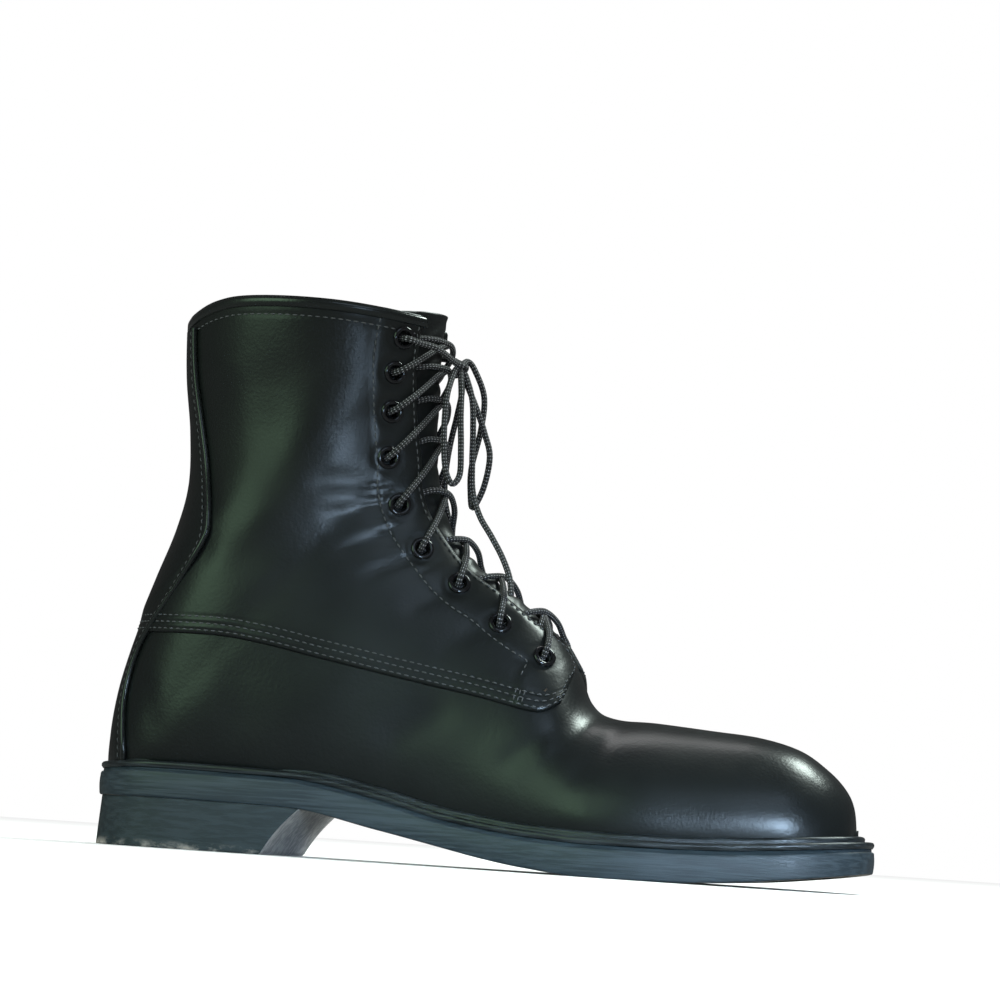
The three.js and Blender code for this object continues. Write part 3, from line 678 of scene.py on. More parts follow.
def makeLeather(name, s):
    # near black, greener and duller where the broad noise is high; pale where two scuff masks meet
    material, tree, shader = startMaterial(name)
    link = tree.links.new
    grain = placeGroup(tree, grainGroup, {"Scale": s["grain"], "Depth": s["depth"]})
    cloud = grain.outputs["Cloud"]
    scuffs = mathNode(tree, "MULTIPLY", wearMask(tree, *s["scuffs"]), wearMask(tree, *s["fineScuffs"]))
    base = blendColour(tree, cloud, s["dark"], s["green"])
    link(blendColour(tree, scuffs, base, s["scuff"]), shader.inputs["Base Color"])
    rough = mapRange(tree, cloud, 0.35, 0.65, s["roughLow"], s["roughHigh"])
    link(mathNode(tree, "MULTIPLY_ADD", scuffs, s["scuffRough"], rough), shader.inputs["Roughness"])
    shader.inputs["Coat Weight"].default_value = s["coat"]
    shader.inputs["Coat Roughness"].default_value = s["coatRough"]
    shader.inputs["Specular IOR Level"].default_value = s["specular"]
    addBump(tree, shader, grain.outputs["Height"], *s["bump"])
    return material


rubberSet = {
    "dark": (0.012, 0.021, 0.028, 1),
    "light": (0.028, 0.043, 0.054, 1),
    "rough": 0.42,
    "roughMore": 0.12,  # added where the rubber is pale
    "brush": (0.08, 0.6, 2.6),
    "brushScale": (420.0, 0.44),  # scale, threshold
    "patches": (34.0, 0.47, (0.5, 1.0, 1.4)),
    "patchShare": 0.3,
    "wornHeight": 0.0,
    "chips": (130.0, 0.46, (0.6, 1.0, 1.0)),
    "chipColour": (0.26, 0.24, 0.22, 1),
    "bump": (0.18, 0.0003),
}


def makeRubber(name, **changes):
    # dark to light by brushed streaks plus a share of patches; pale chips fade in below the worn height
    s = {**rubberSet, **changes}
    material, tree, shader = startMaterial(name)
    link = tree.links.new
    streaks = wearMask(tree, *s["brushScale"], s["brush"])
    both = mathNode(tree, "MULTIPLY_ADD", wearMask(tree, *s["patches"]), s["patchShare"], streaks)
    pale = mapRange(tree, both, 0.0, 1 + s["patchShare"], 0.0, 1.0)
    colour = blendColour(tree, pale, s["dark"], s["light"])
    if s["wornHeight"] > 0:
        place = addNode(tree, "ShaderNodeTexCoord")
        split = addNode(tree, "ShaderNodeSeparateXYZ")
        link(place.outputs["Object"], split.inputs[0])
        low = mapRange(tree, split.outputs["Z"], s["wornHeight"], s["wornHeight"] * 0.25, 0.0, 1.0)
        chips = mathNode(tree, "MULTIPLY", low, wearMask(tree, *s["chips"]))
        colour = blendColour(tree, chips, colour, s["chipColour"])
    link(colour, shader.inputs["Base Color"])
    rough = mapRange(tree, pale, 0.0, 1.0, s["rough"], s["rough"] + s["roughMore"])
    link(rough, shader.inputs["Roughness"])
    addBump(tree, shader, streaks, *s["bump"])
    return material


treadRubberSet = {
    "dark": (0.045, 0.042, 0.038, 1),
    "dusty": (0.17, 0.145, 0.115, 1),
    "dust": (90.0, 0.40, (1.0, 1.0, 0.4)),
    "rough": 0.85,
    "bump": (0.3, 0.0004),
}


def makeTreadRubber(name, s):
    # the underside: dark rubber under a brown grey dust
    material, tree, shader = startMaterial(name, s["rough"])
    dust = wearMask(tree, *s["dust"])
    tree.links.new(blendColour(tree, dust, s["dark"], s["dusty"]), shader.inputs["Base Color"])
    addBump(tree, shader, dust, *s["bump"])
    return material


braidSet = {
    "rough": 0.62,
    "strands": (700, 6),  # waves per metre along the lace, waves round it
    "flecks": (350, 4),
    "fleckPhase": 1.2,
    "fleckEdge": (0.45, 0.75),
    "thread": ((0.004, 0.004, 0.0045, 1), (0.018, 0.018, 0.019, 1)),
    "pale": (0.22, 0.22, 0.23, 1),
    "bump": (0.7, 0.0003),
}


def makeBraid(name, s):
    # a round braid: two crossed sine waves multiplied, from the tube's own UV;
    # pale flecks where a slower pair peaks
    material, tree, shader = startMaterial(name, s["rough"])
    place = addNode(tree, "ShaderNodeUVMap", uv_map="weave")
    split = addNode(tree, "ShaderNodeSeparateXYZ")
    tree.links.new(place.outputs["UV"], split.inputs[0])
    def crossed(waves, phase=0.0):
        along, around = [2 * math.pi * value for value in waves]
        sines = []
        for turn, shift in ((around, 0.0), (-around, phase)):
            lengthwise = mathNode(tree, "MULTIPLY_ADD", split.outputs["X"], along, shift)
            slant = mathNode(tree, "MULTIPLY_ADD", split.outputs["Y"], turn, lengthwise)
            sines.append(mathNode(tree, "SINE", slant))
        return mathNode(tree, "MULTIPLY", *sines)
    weave = crossed(s["strands"])
    flecks = mapRange(tree, crossed(s["flecks"], s["fleckPhase"]), *s["fleckEdge"], 0.0, 1.0)
    base = blendColour(tree, mapRange(tree, weave, -1.0, 1.0, 0.0, 1.0), *s["thread"])
    tree.links.new(blendColour(tree, flecks, base, s["pale"]), shader.inputs["Base Color"])
    addBump(tree, shader, weave, *s["bump"])
    return material


def makePlain(name, colour, roughness, metallic=0.0, coat=0.0):
    material, _, shader = startMaterial(name, roughness, metallic)
    shader.inputs["Base Color"].default_value = colour
    shader.inputs["Coat Weight"].default_value = coat
    return material


tongueLook = {"roughLow": 0.32, "roughHigh": 0.5, "coat": 0.1, "grain": 0.8, "depth": 1.4}
bindingLook = {"roughLow": 0.18, "roughHigh": 0.3, "coat": 0.5}
blackLeather = makeLeather("blackLeather", leatherSet)
tongueLeather = makeLeather("tongueLeather", {**leatherSet, **tongueLook})
bindingLeather = makeLeather("bindingLeather", {**leatherSet, **bindingLook})
liningLeather = makePlain("liningLeather", (0.10, 0.075, 0.055, 1), 0.8)
darkLining = makePlain("darkLining", (0.02, 0.019, 0.018, 1), 0.7)
soleRubber = makeRubber("soleRubber")
heelRubber = makeRubber("heelRubber", dark=(0.011, 0.020, 0.026, 1), light=(0.022, 0.035, 0.043, 1),
                        rough=0.55, brush=(0.25, 0.8, 1.6), wornHeight=0.0034)
weltRubber = makeRubber("weltRubber", dark=(0.006, 0.008, 0.009, 1), light=(0.020, 0.026, 0.030, 1),
                        rough=0.30)
# pale grey rubber for the heel's breast and underside; on the breast the paleness is partly painted light
# and partly wear
breastRubber = makeRubber("breastRubber", dark=(0.19, 0.195, 0.20, 1), light=(0.36, 0.36, 0.355, 1),
                          rough=0.75, brush=(1.0, 1.0, 0.3))
treadRubber = makeTreadRubber("treadRubber", treadRubberSet)
blackEnamel = makePlain("blackEnamel", (0.006, 0.006, 0.007, 1), 0.16, 0.35, 0.6)
laceBraid = makeBraid("laceBraid", braidSet)
threadGrey = makePlain("threadGrey", (0.050, 0.053, 0.056, 1), 0.7)
print("materials ready")


# panels of the upper
def segmentDip(x, z, fold):
    # a soft trough along a line of the side view, by a bell across it and a fade at both ends
    startX, startZ, endX, endZ, width, depth = fold
    dx, dz = endX - startX, endZ - startZ
    length = math.hypot(dx, dz)
    along = ((x - startX) * dx + (z - startZ) * dz) / length
    across = ((x - startX) * dz - (z - startZ) * dx) / length
    fadeIn = smoothstep(along, -0.15 * length, 0.3 * length)
    fadeOut = smoothstep(along, 0.7 * length, 1.15 * length)
    return -depth * fadeIn * (1 - fadeOut) * bell(across, 0, width)


def foldsAt(x, z, folds):
    # the troughs added up
    return sum(segmentDip(x, z, fold) for fold in folds)


def edgeRoll(distance, radius):
    # how far the surface drops within a radius of a rounded edge, as a quarter circle
    d = np.clip(distance, 0, radius)
    return -(radius - np.sqrt(np.maximum(radius ** 2 - (radius - d) ** 2, 0)))


def lengthAlong(grid, axis):
    # running length down the grid's rows (axis 0) or across its columns (axis 1)
    total = np.cumsum(np.linalg.norm(np.diff(grid, axis=axis), axis=-1), axis=axis)
    pad = [(0, 0), (0, 0)]
    pad[axis] = (1, 0)
    return np.pad(total, pad)


vampSet = {
    "rows": 250,
    "columns": 62,
    "frontShare": 0.44,  # share of the rows before the throat
    "crowding": 1.15,  # rows crowd to the toe
    "throatX": 0.600,  # share of soleLength where the vamp ends under the facings
    "splitPlace": 8.6,  # the section at the seat below the throat
    "throatPlaces": (8.0, 11.0),
    "throatBlend": (0.1, 0.2),  # turn below and above the facing's foot
    "under": 0.35,  # how far the vamp runs on under the quarters, in sections
    "capSteps": (0.0, 0.35, 0.7),  # shares of the first section's width in the toe's rounded end
    "capReach": 0.0012,
    "folds": [  # side view, metres from the heel's back: from, to, width, depth
        (0.206, 0.066, 0.186, 0.036, 0.0045, 0.00055),
        (0.216, 0.062, 0.200, 0.034, 0.0040, 0.00045),
        (0.196, 0.060, 0.170, 0.040, 0.0050, 0.00050),
        (0.150, 0.062, 0.120, 0.046, 0.0080, 0.00060),
        (0.060, 0.080, 0.066, 0.044, 0.0100, 0.00040),
        (0.020, 0.070, 0.030, 0.042, 0.0060, 0.00035),
    ],
}


def vampBorders(s):
    # the ridge, the top edge behind it and the seat curve below that edge, as place and turn;
    # the top edge blends from a straight throat to the quarters' lower edge
    turns = np.linspace(math.pi, 0, 320)
    throatX, (blendLow, blendHigh) = s["throatX"] * size["soleLength"], s["throatBlend"]
    throat = bisect(lambda place: sideOf(place, turns)[0] > throatX, turns.shape, *s["throatPlaces"])
    lower = quarterPlace(turns) + s["under"]
    share = smoothstep(turns, facing[0, 1] - blendLow, facing[0, 1] + blendHigh)
    top = np.column_stack([np.maximum(throat * share + lower * (1 - share), throat[0]), turns])
    ridge = np.column_stack([np.linspace(0, throat[0], 300), np.full(300, math.pi)])
    seatPlaces = np.linspace(s["splitPlace"], heelEnd, 200)
    seat = np.column_stack([seatPlaces, seatTurn(seatPlaces)])
    return ridge, top, seat


def evenRows(path, count):
    # the same path of place and turn with rows evenly spaced in space
    along = distances(formPoint(path[:, 0], path[:, 1]))
    return readAlong(np.linspace(0, along[-1], count), along, path)


def makeVamp(s):
    # rows run from the seat curve to the ridge or the top edge, straight in place and turn
    ridge, top, seat = vampBorders(s)
    front = int(s["frontShare"] * s["rows"])
    along = distances(formPoint(ridge[:, 0], ridge[:, 1]))
    placesFront = np.interp(np.linspace(0, 1, front) ** s["crowding"] * along[-1], along, ridge[:, 0])
    topRows = np.vstack([np.column_stack([placesFront, np.full(front, math.pi)]),
                         evenRows(top, s["rows"] - front + 1)[1:]])
    seatPlaces = placesFront - (ridge[-1, 0] - s["splitPlace"]) * (placesFront / ridge[-1, 0]) ** 3
    seatRows = np.vstack([np.column_stack([seatPlaces, seatTurn(seatPlaces)]),
                          evenRows(seat, s["rows"] - front + 1)[1:]])
    v = np.linspace(0, 1, s["columns"])[None, :]
    place = seatRows[:, :1] * (1 - v) + topRows[:, :1] * v
    turn = seatRows[:, 1:] * (1 - v) + topRows[:, 1:] * v
    middle = sections[0, 8]
    parts = []
    for side in (1, -1):
        turned = mirrorTurn(turn, side)
        base = formPoint(place, turned)
        normal = formNormal(place, turned)
        relief = foldsAt(base[..., 0] + originShift, base[..., 2], s["folds"])
        grid = base + relief[..., None] * normal
        cap = []
        for f in s["capSteps"]:
            row = grid[:1].copy()
            row[..., 1] = middle + (row[..., 1] - middle) * f
            row[..., 0] += s["capReach"] * (1 - f * f)
            cap.append(row)
        grid = np.vstack(cap + [grid])
        normal = np.vstack([normal[:1]] * len(cap) + [normal])
        parts.append((grid, faceOut(grid, normal), np.zeros(grid.shape[:2] + (2,))))
    points, faces, _ = joinParts(parts)
    vamp = makeLeatherPiece("vamp", points, faces, blackLeather, liningLeather, 2e-5,
                            size["wall"])
    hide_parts("upper")


makeVamp(vampSet)
print("vamp ready")

eyeletSet = {
    "radius": 0.0047,
    "hole": 0.0027,
    "rim": 0.0011,
    "barrelWall": 0.0005,
    "barrelDepth": 0.0024,
    "lift": 0.0003,
    "rimSteps": 9,
    "rimPower": 0.8,
    "sides": 28,
}

quarterSet = {
    "rows": 180,
    "columns": 190,
    "crowding": 1.9,  # columns crowd to the back seam, where the side view runs out
    "edgeRadius": 0.0011,
    "facingLift": 0.0004,  # the eyelet facing stands a little over the quarter
    "facingWidth": 0.0192,
    "facingStep": 0.0012,
    "flatBelow": (0.6, 0.012),  # folds fade by this share at the lower edge, over this length
    "stitchGroove": 0.00022,
    "grooveWidth": 0.0007,
    "collarGroove": 0.0008,
    "swellRows": (0.0032, 0.0060),  # between the stitch rows the two layers swell a little
    "swell": (0.00022, 0.0008),  # height, width
    "eyeletDip": (0.0004, 0.0052, 0.0016),  # depth, radius, width of the ring pressed round an eyelet
    "holeMore": 0.0006,
    "tackSpan": (0.0014, 0.0092),  # from the lower edge
    "rowsFromEdge": (0.0018, 0.0046, 0.0074),  # three rows over the lower edge
    "rowsFromFacing": (0.0022, 0.0192),
    "facingStarts": (2, 12),  # grid rows left out at the foot of each facing row
    "rowFromCollar": 0.0076,
    "tacks": (0.1730, 0.1752, 0.1774),  # short bars that end the rows, metres from the heel's back
    "folds": [
        (0.118, 0.142, 0.090, 0.136, 0.0040, 0.00050),
        (0.124, 0.133, 0.096, 0.121, 0.0035, 0.00055),
        (0.132, 0.124, 0.108, 0.112, 0.0030, 0.00045),
        (0.112, 0.150, 0.084, 0.150, 0.0050, 0.00045),
        (0.146, 0.112, 0.126, 0.100, 0.0045, 0.00040),
        (0.100, 0.134, 0.050, 0.112, 0.0100, 0.00090),
        (0.050, 0.118, 0.030, 0.124, 0.0080, 0.00070),
        (0.070, 0.200, 0.066, 0.150, 0.0120, 0.00060),
        (0.044, 0.190, 0.050, 0.150, 0.0090, 0.00045),
        (0.160, 0.098, 0.140, 0.082, 0.0050, 0.00030),
    ],
    "ripples": [  # fine puckers by the middle eyelets
        (0.1165, 0.1510, 0.1050, 0.1485, 0.0011, 0.00028),
        (0.1185, 0.1475, 0.1040, 0.1450, 0.0010, 0.00026),
        (0.1195, 0.1440, 0.1060, 0.1405, 0.0011, 0.00030),
        (0.1225, 0.1400, 0.1090, 0.1350, 0.0011, 0.00028),
        (0.1255, 0.1365, 0.1120, 0.1310, 0.0011, 0.00028),
        (0.1300, 0.1320, 0.1165, 0.1255, 0.0011, 0.00028),
        (0.1345, 0.1280, 0.1220, 0.1200, 0.0012, 0.00026),
        (0.1400, 0.1230, 0.1290, 0.1140, 0.0012, 0.00024),
    ],
}


def quarterGrid(s):
    # a Coons patch of the side view: rows and columns ruled between four border lines, less the corners
    turns = np.linspace(0, facing[0, 1], 300)
    lowerPath = np.column_stack([quarterPlace(turns), turns])
    lowerPath[-1] = facing[0]
    x, z = sideOf(facing[:, 0], facing[:, 1])
    frontPath = facing[z < lineHeight(collarLine, x)]
    topTurns = np.linspace(0, frontPath[-1, 1], 300)
    topPath = np.column_stack([collarPlace(topTurns), topTurns])
    backPath = np.column_stack([np.linspace(lowerPath[0, 0], topPath[0, 0], 200), np.zeros(200)])
    v = np.linspace(0, 1, s["columns"]) ** s["crowding"]
    u = np.linspace(0, 1, s["rows"])
    def sidePath(path, spots):
        flat = np.column_stack(sideOf(path[:, 0], path[:, 1]))
        along = distances(flat)
        return readAlong(spots * along[-1], along, flat)
    lower, top = sidePath(lowerPath, v), sidePath(topPath, v)
    back, front = sidePath(backPath, u), sidePath(frontPath, u)
    u, v = u[:, None, None], v[None, :, None]
    ruled = lower[None] * (1 - u) + top[None] * u + back[:, None] * (1 - v) + front[:, None] * v
    corners = (lower[0] * (1 - u) * (1 - v) + lower[-1] * (1 - u) * v
               + top[0] * u * (1 - v) + top[-1] * u * v)
    flat = ruled - corners
    place, turn = locate(flat[..., 0], flat[..., 1], 1)
    turn[:, 0] = 0
    return place, turn


def eyeletSpots():
    # place, turn, centre and axis of each eyelet, from the side table
    spots = {}
    for name, side in (("inner", -1), ("outer", 1)):
        for k, (x, z) in enumerate(eyeletTable):
            place, turn = locate(x * size["soleLength"], z * size["collarHeight"], side)
            centre = formPoint(place, turn, size["step"])
            spots[name, k + 1] = (float(place), float(turn), centre, formNormal(place, turn))
    return spots


eyelets = eyeletSpots()


def gridAtDistance(grid, distance, target):
    # in each column of the grid, the point where the distance down its rows reaches the target
    below = np.clip((distance < target).sum(axis=0) - 1, 0, len(distance) - 2)
    column = np.arange(below.size)
    a, b = distance[below, column], distance[below + 1, column]
    share = np.clip((target - a) / np.maximum(b - a, 1e-9), 0, 1)[:, None]
    return grid[below, column] * (1 - share) + grid[below + 1, column] * share


stitchSet = {
    "pitch": 0.0031,
    "length": 0.0022,
    "radius": 0.00030,
    "rise": (1.3, 0.45),  # height of the middle and depth of the ends, in radii
    "rings": 6,
    "sides": 6,
}
stitchPaths = []


def keepPath(grid, normal, distance, target, start=0, end=None):
    # a stitch row along the columns of a grid, at one distance down its rows
    path, away = [gridAtDistance(values, distance, target)[start:end] for values in (grid, normal)]
    stitchPaths.append((path, away))


def sideways(*grids):
    # the same grids with their last column as the first row
    return [np.swapaxes(grid[:, ::-1], 0, 1) for grid in grids]


def makeQuarter(s, name, side):
    # the form raised by the step, with folds, grooves under the stitch rows and rounded edges
    place, turn = quarterGrid(s)
    turned = mirrorTurn(turn, side)
    base = formPoint(place, turned, size["step"])
    normal = formNormal(place, turned)
    fromLower = lengthAlong(base, 0)
    fromTop = fromLower[-1:] - fromLower
    fromFacing = np.sqrt(((base[:, :, None] - base[None, None, :, -1]) ** 2).sum(axis=-1).min(axis=-1))
    x, z = base[..., 0] + originShift, base[..., 2]
    flatShare, flatLength = s["flatBelow"]
    relief = foldsAt(x, z, s["folds"]) * (1 - flatShare * np.exp(-fromLower / flatLength))
    relief = relief + foldsAt(x, z, s["ripples"])
    facingEnd = s["facingWidth"] + s["facingStep"]
    relief = relief + s["facingLift"] * (1 - smoothstep(fromFacing, s["facingWidth"], facingEnd))
    grooves = [(fromLower, row, s["grooveWidth"]) for row in s["rowsFromEdge"]]
    grooves += [(fromFacing, row, s["grooveWidth"]) for row in s["rowsFromFacing"]]
    for distance, row, width in grooves + [(fromTop, s["rowFromCollar"], s["collarGroove"])]:
        relief = relief - s["stitchGroove"] * bell(distance, row, width)
    for row in s["swellRows"]:
        relief = relief + s["swell"][0] * bell(fromLower, row, s["swell"][1])
    relief = relief + edgeRoll(fromLower, s["edgeRadius"]) + edgeRoll(fromFacing, s["edgeRadius"])
    dip, ringRadius, ringWidth = s["eyeletDip"]
    centres = [spot[2] for spot in eyelets.values()]
    for centre in centres:
        relief = relief - dip * bell(np.linalg.norm(base - centre, axis=-1), ringRadius, ringWidth)
    grid = base + relief[..., None] * normal
    faces = faceOut(grid, normal)
    flat = grid.reshape(-1, 3)
    middle = flat[faces].mean(axis=1)
    keep = np.ones(len(faces), bool)
    for centre in centres:
        keep &= np.linalg.norm(middle - centre, axis=1) > eyeletSet["hole"] + s["holeMore"]
    makeLeatherPiece(name, flat, faces[keep], blackLeather, darkLining, 1e-6,
                     size["wall"] + size["step"])
    for row in s["rowsFromEdge"]:
        keepPath(grid, normal, fromLower, row)
    low, high = s["tackSpan"]
    for spot in s["tacks"]:
        column = int(np.argmin(np.abs(x[0] - spot)))
        rows = (fromLower[:, column] > low) & (fromLower[:, column] < high)
        stitchPaths.append((grid[rows, column], normal[rows, column]))
    for row, start in zip(s["rowsFromFacing"], s["facingStarts"]):
        keepPath(*sideways(grid, normal, fromFacing), row, start, -2)
    keepPath(grid[::-1], normal[::-1], fromTop[::-1], s["rowFromCollar"])


makeQuarter(quarterSet, "quarter_inner", -1)
makeQuarter(quarterSet, "quarter_outer", 1)
print("quarters ready")

tongueSet = {
    "rows": 200,
    "columns": 70,
    "behind": 0.016,  # how far the tongue reaches behind the facing's edge
    "rise": 0.004,
    "depth": 0.0024,  # under the form's own surface in the middle
    "depthAside": 0.0046,
    "thickness": 0.0014,
    "places": (9.7, 27.0),  # sections between which it may run
    "facingFoot": 10.3,
    "roundness": 0.7,
    "ripple": 0.00032,
    "waves": (520, 2.2, 90, 1.6, 5),  # per metre; bent by a wave along and one by turn
    "fineWaves": (0.6, 860, 3, 3, 60),
}


def makeTongue(s):
    # the form sunk by a depth that is least in the middle, with sine ripples that fade to the sides
    places = np.linspace(*s["places"], 500)
    turnEdge = facingTurn(np.maximum(places, s["facingFoot"]))
    x, z = sideOf(places, np.full(500, math.pi))
    inside = z < lineHeight(collarLine, x) + s["rise"]
    places, turnEdge = places[inside], turnEdge[inside]
    rows = evenRows(np.column_stack([places, np.full(len(places), math.pi)]), s["rows"])[:, 0]
    edge = np.interp(rows, places, turnEdge)
    perTurn = np.linalg.norm(formPoint(rows, edge) - formPoint(rows, edge - 0.1), axis=-1) / 0.1
    low = (edge - s["behind"] / perTurn)[:, None]
    turn = low + (2 * math.pi - 2 * low) * np.linspace(0, 1, s["columns"])[None, :]
    place = np.broadcast_to(rows[:, None], turn.shape)
    middle = np.clip((turn - edge[:, None]) / (2 * math.pi - 2 * edge[:, None]), 0, 1)
    swell = np.sin(math.pi * middle) ** s["roundness"]
    depth = s["depthAside"] + (s["depth"] - s["depthAside"]) * swell
    base = formPoint(place, turn)
    normal = formNormal(place, turn)
    along = lengthAlong(base, 0)
    waves, bend, bendWaves, skew, skewWaves = s["waves"]
    share, fineWaves, fineBend, fineTurn, fineAlong = s["fineWaves"]
    ripple = np.sin(along * waves + bend * np.sin(along * bendWaves) + skew * np.sin(turn * skewWaves))
    fine = np.sin(along * fineWaves + fineBend * np.sin(turn * fineTurn + along * fineAlong))
    ripple = ripple + share * fine
    grid = base + (s["ripple"] * ripple * swell - depth)[..., None] * normal
    tongue = makeLeatherPiece("tongue_leather", grid, faceOut(grid, normal), tongueLeather, darkLining,
                              0, s["thickness"])
    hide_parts("tongue")


makeTongue(tongueSet)

bindingSet = {
    "height": 0.0046,
    "thickness": 0.0009,
    "inner": 0.0004,  # the band's reach past the wall's inner face
    "rim": 0.0006,
    "endPlace": 26.2,  # the section whose facing ends the band
    "columns": 260,
    "round": 26,
}


def makeBinding(s):
    # a half circle over the collar's edge with straight sides, carried from one facing to the other
    edgeTurn = float(facingTurn(s["endPlace"]))
    turn = np.linspace(-edgeTurn, edgeTurn, s["columns"])
    outer, inner = size["step"] + s["thickness"], -size["wall"] - s["inner"]
    half = (outer - inner) / 2
    angle = np.linspace(0, math.pi, s["round"])
    hoop = (outer + inner) / 2 + half * np.cos(angle)
    offsets = np.concatenate([[outer - s["rim"]], hoop, [inner + s["rim"]]])
    drops = np.concatenate([[s["height"]], half * (1 - np.sin(angle)), [s["height"]]])
    drops[[1, -2]] = s["height"] - s["rim"]
    rows = [formPoint(collarPlace(np.abs(turn), drop), turn, offset)
            for offset, drop in zip(offsets, drops)]
    grid = np.array(rows + rows[:1])
    ends = [np.broadcast_to(grid[:, k].mean(axis=0), grid[:, :1].shape) for k in (0, -1)]
    points = np.concatenate([ends[0], grid, ends[1]], axis=1)
    binding = makeClosed("collar_roll", points, gridFaces(*points.shape[:2]), bindingLeather,
                         merge=1e-6)
    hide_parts("collar_binding")


makeBinding(bindingSet)

backstaySet = {
    "foot": 0.0006,
    "head": 0.947,  # share of collarHeight
    "level": 0.0021,
    "thickness": 0.0027,
    "piping": 0.0012,
    "pipingSides": 14,
    "pipingRings": 260,
    "pipingLift": 0.0001,
    "footPlaces": (14.0, 21.0),
    "quarterPlaces": (20.0, 20.5),  # over these sections the strip steps up on the quarters
    "rows": 220,
    "columns": 60,
    "stitchIn": 0.0036,
    "groove": (0.0002, 0.0007),  # depth, width under the stitch row
    "swell": (0.0003, 0.0018, 0.001),  # height, distance from the edge, width
}


def makeBackstay(s):
    # a strip up the back seam, then a cord along each of its front edges
    shown = backstayLine[backstayLine[:, 1] < s["head"] * size["collarHeight"]]
    shown = shown[shown[:, 1] > seatLine(shown[:, 0]) + s["foot"]]
    place, turn = locate(shown[:, 0], shown[:, 1], 1)
    order = np.argsort(place)
    ends = evenRows(np.column_stack([place[order], turn[order]]), s["rows"])
    turns = ends[:, 1:] * np.linspace(-1, 1, s["columns"])[None, :]
    # the lowest row follows the welt, and the rows over it flatten out step by step
    lowest = placeAtHeight(np.abs(turns[0]), lambda x: seatLine(x) + s["foot"], *s["footPlaces"])
    fade = (1 - np.linspace(0, 1, s["rows"])[:, None]) ** 2
    places = ends[:, :1] + (lowest - ends[0, 0])[None, :] * fade
    base = formPoint(places, turns)
    normal = formNormal(places, np.where(np.abs(turns) < 1e-6, 1e-6, turns))
    across = lengthAlong(base, 1)
    fromEdge = np.minimum(across, across[:, -1:] - across)
    groove, grooveWidth = s["groove"]
    swell, swellAt, swellWidth = s["swell"]
    relief = (smoothstep(places, *s["quarterPlaces"]) - 1) * size["step"] + s["level"]
    relief = relief - groove * bell(fromEdge, s["stitchIn"], grooveWidth)
    relief = relief + swell * bell(fromEdge, swellAt, swellWidth)
    grid = base + relief[..., None] * normal
    strip = makeLeatherPiece("backstay_strip", grid, faceOut(grid, normal), blackLeather, darkLining,
                             1e-6, s["thickness"])
    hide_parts("backstay")
    for name, column in (("piping_inner", 0), ("piping_outer", -1)):
        path = evenly(grid[:, column] + s["pipingLift"] * normal[:, column], s["pipingRings"])
        points, faces, uv = tube(path, s["piping"], s["pipingSides"])
        makeClosed(name, points, faces, bindingLeather, uv)
    flipped = sideways(grid, normal, across)
    keepPath(*[values[::-1] for values in flipped], s["stitchIn"])
    keepPath(*flipped[:2], flipped[2][:1] - flipped[2], s["stitchIn"])


makeBackstay(backstaySet)
print("tongue, binding and backstay ready")

# sole: closed rings round the seat outline
ringCount = 900


def seatRing(reach=14):
    # where the upper meets the seat, from the toe along the inner side, round the heel and back;
    # smoothed by a bell over the points within reach, with the outward direction square to its course
    places = heelEnd * (1 - np.cos(np.linspace(0, math.pi, 400))) / 2
    turn = seatTurn(places)
    outer, inner = formPoint(places, turn), formPoint(places, 2 * math.pi - turn)
    ring = np.vstack([inner, outer[::-1][1:]])[:, :2]
    ring = evenly(np.vstack([ring, ring[:1]]), ringCount + 1)[:-1]
    weights = bell(np.linspace(-2, 2, 2 * reach + 1), 0, 1)
    weights /= weights.sum()
    smooth = sum(np.roll(ring, k - reach, axis=0) * weight for k, weight in enumerate(weights))
    step = np.roll(smooth, -3, axis=0) - np.roll(smooth, 3, axis=0)
    step /= np.linalg.norm(step, axis=1, keepdims=True)
    return smooth, np.column_stack([-step[:, 1], step[:, 0]])


ring, ringOut = seatRing()
ringShare = (ring[:, 0] + originShift) / size["soleLength"]
soleSet = {
    "weltMargin": 0.0072,
    "heelMargin": 0.0042,
    "marginChange": (0.3, 0.6),  # shares of soleLength
    "topInset": 0.0060,
    "grooveHeight": 0.0013,
    "grooveDepth": 0.0010,
    "grooveShares": (0.7, 0.9),
    "lipInset": 0.00035,
    "lipHeight": 0.0003,
    "wallRows": 14,
    "bow": 0.0003,
    "treadDepth": 0.0034,
    "treadBorder": 0.009,
    "borderBlend": 0.0006,
    "treadStart": 0.50,
    "treadEnd": 0.95,
    "endBlend": 0.001,
    "lugPitch": 0.017,
    "lugWidth": 0.009,
    "lugPoint": 0.009,
    "lugReach": 0.08,  # half width over which a lug's slant would run out
    "lugBlend": 0.0008,
    "edgeRadius": 0.0008,
    "spine": (0.10, 0.88),
    "steps": 62,
    "underFacing": -0.75,  # faces turned so far to the floor show the tread's rubber
}
edgeAngles = [math.radians(angle) for angle in (30, 60, 90)]


def edgeMargin(s):
    # how far the sole's edge stands out from the seat outline
    return s["heelMargin"] + (s["weltMargin"] - s["heelMargin"]) * smoothstep(ringShare, *s["marginChange"])


margin = edgeMargin(soleSet)


def ringAt(distance):
    # the seat outline moved outward
    return ring + np.asarray(distance).reshape(-1, 1) * ringOut


def ringPiece(name, rows, material):
    grid = closeRing(np.array(rows))
    return makeClosed(name, grid, gridFaces(*grid.shape[:2]), material)


def levelRow(distance, heightAt, lift=0.0):
    # the moved outline at the height of a sole line, plus a lift
    flat = ringAt(distance)
    return np.column_stack([flat, heightAt(flat[:, 0] + originShift) + lift])


def crossPoint(half, x):
    # y of one half of the ring at x
    order = np.argsort(half[:, 0])
    return np.interp(x, half[:, 0][order], half[:, 1][order])


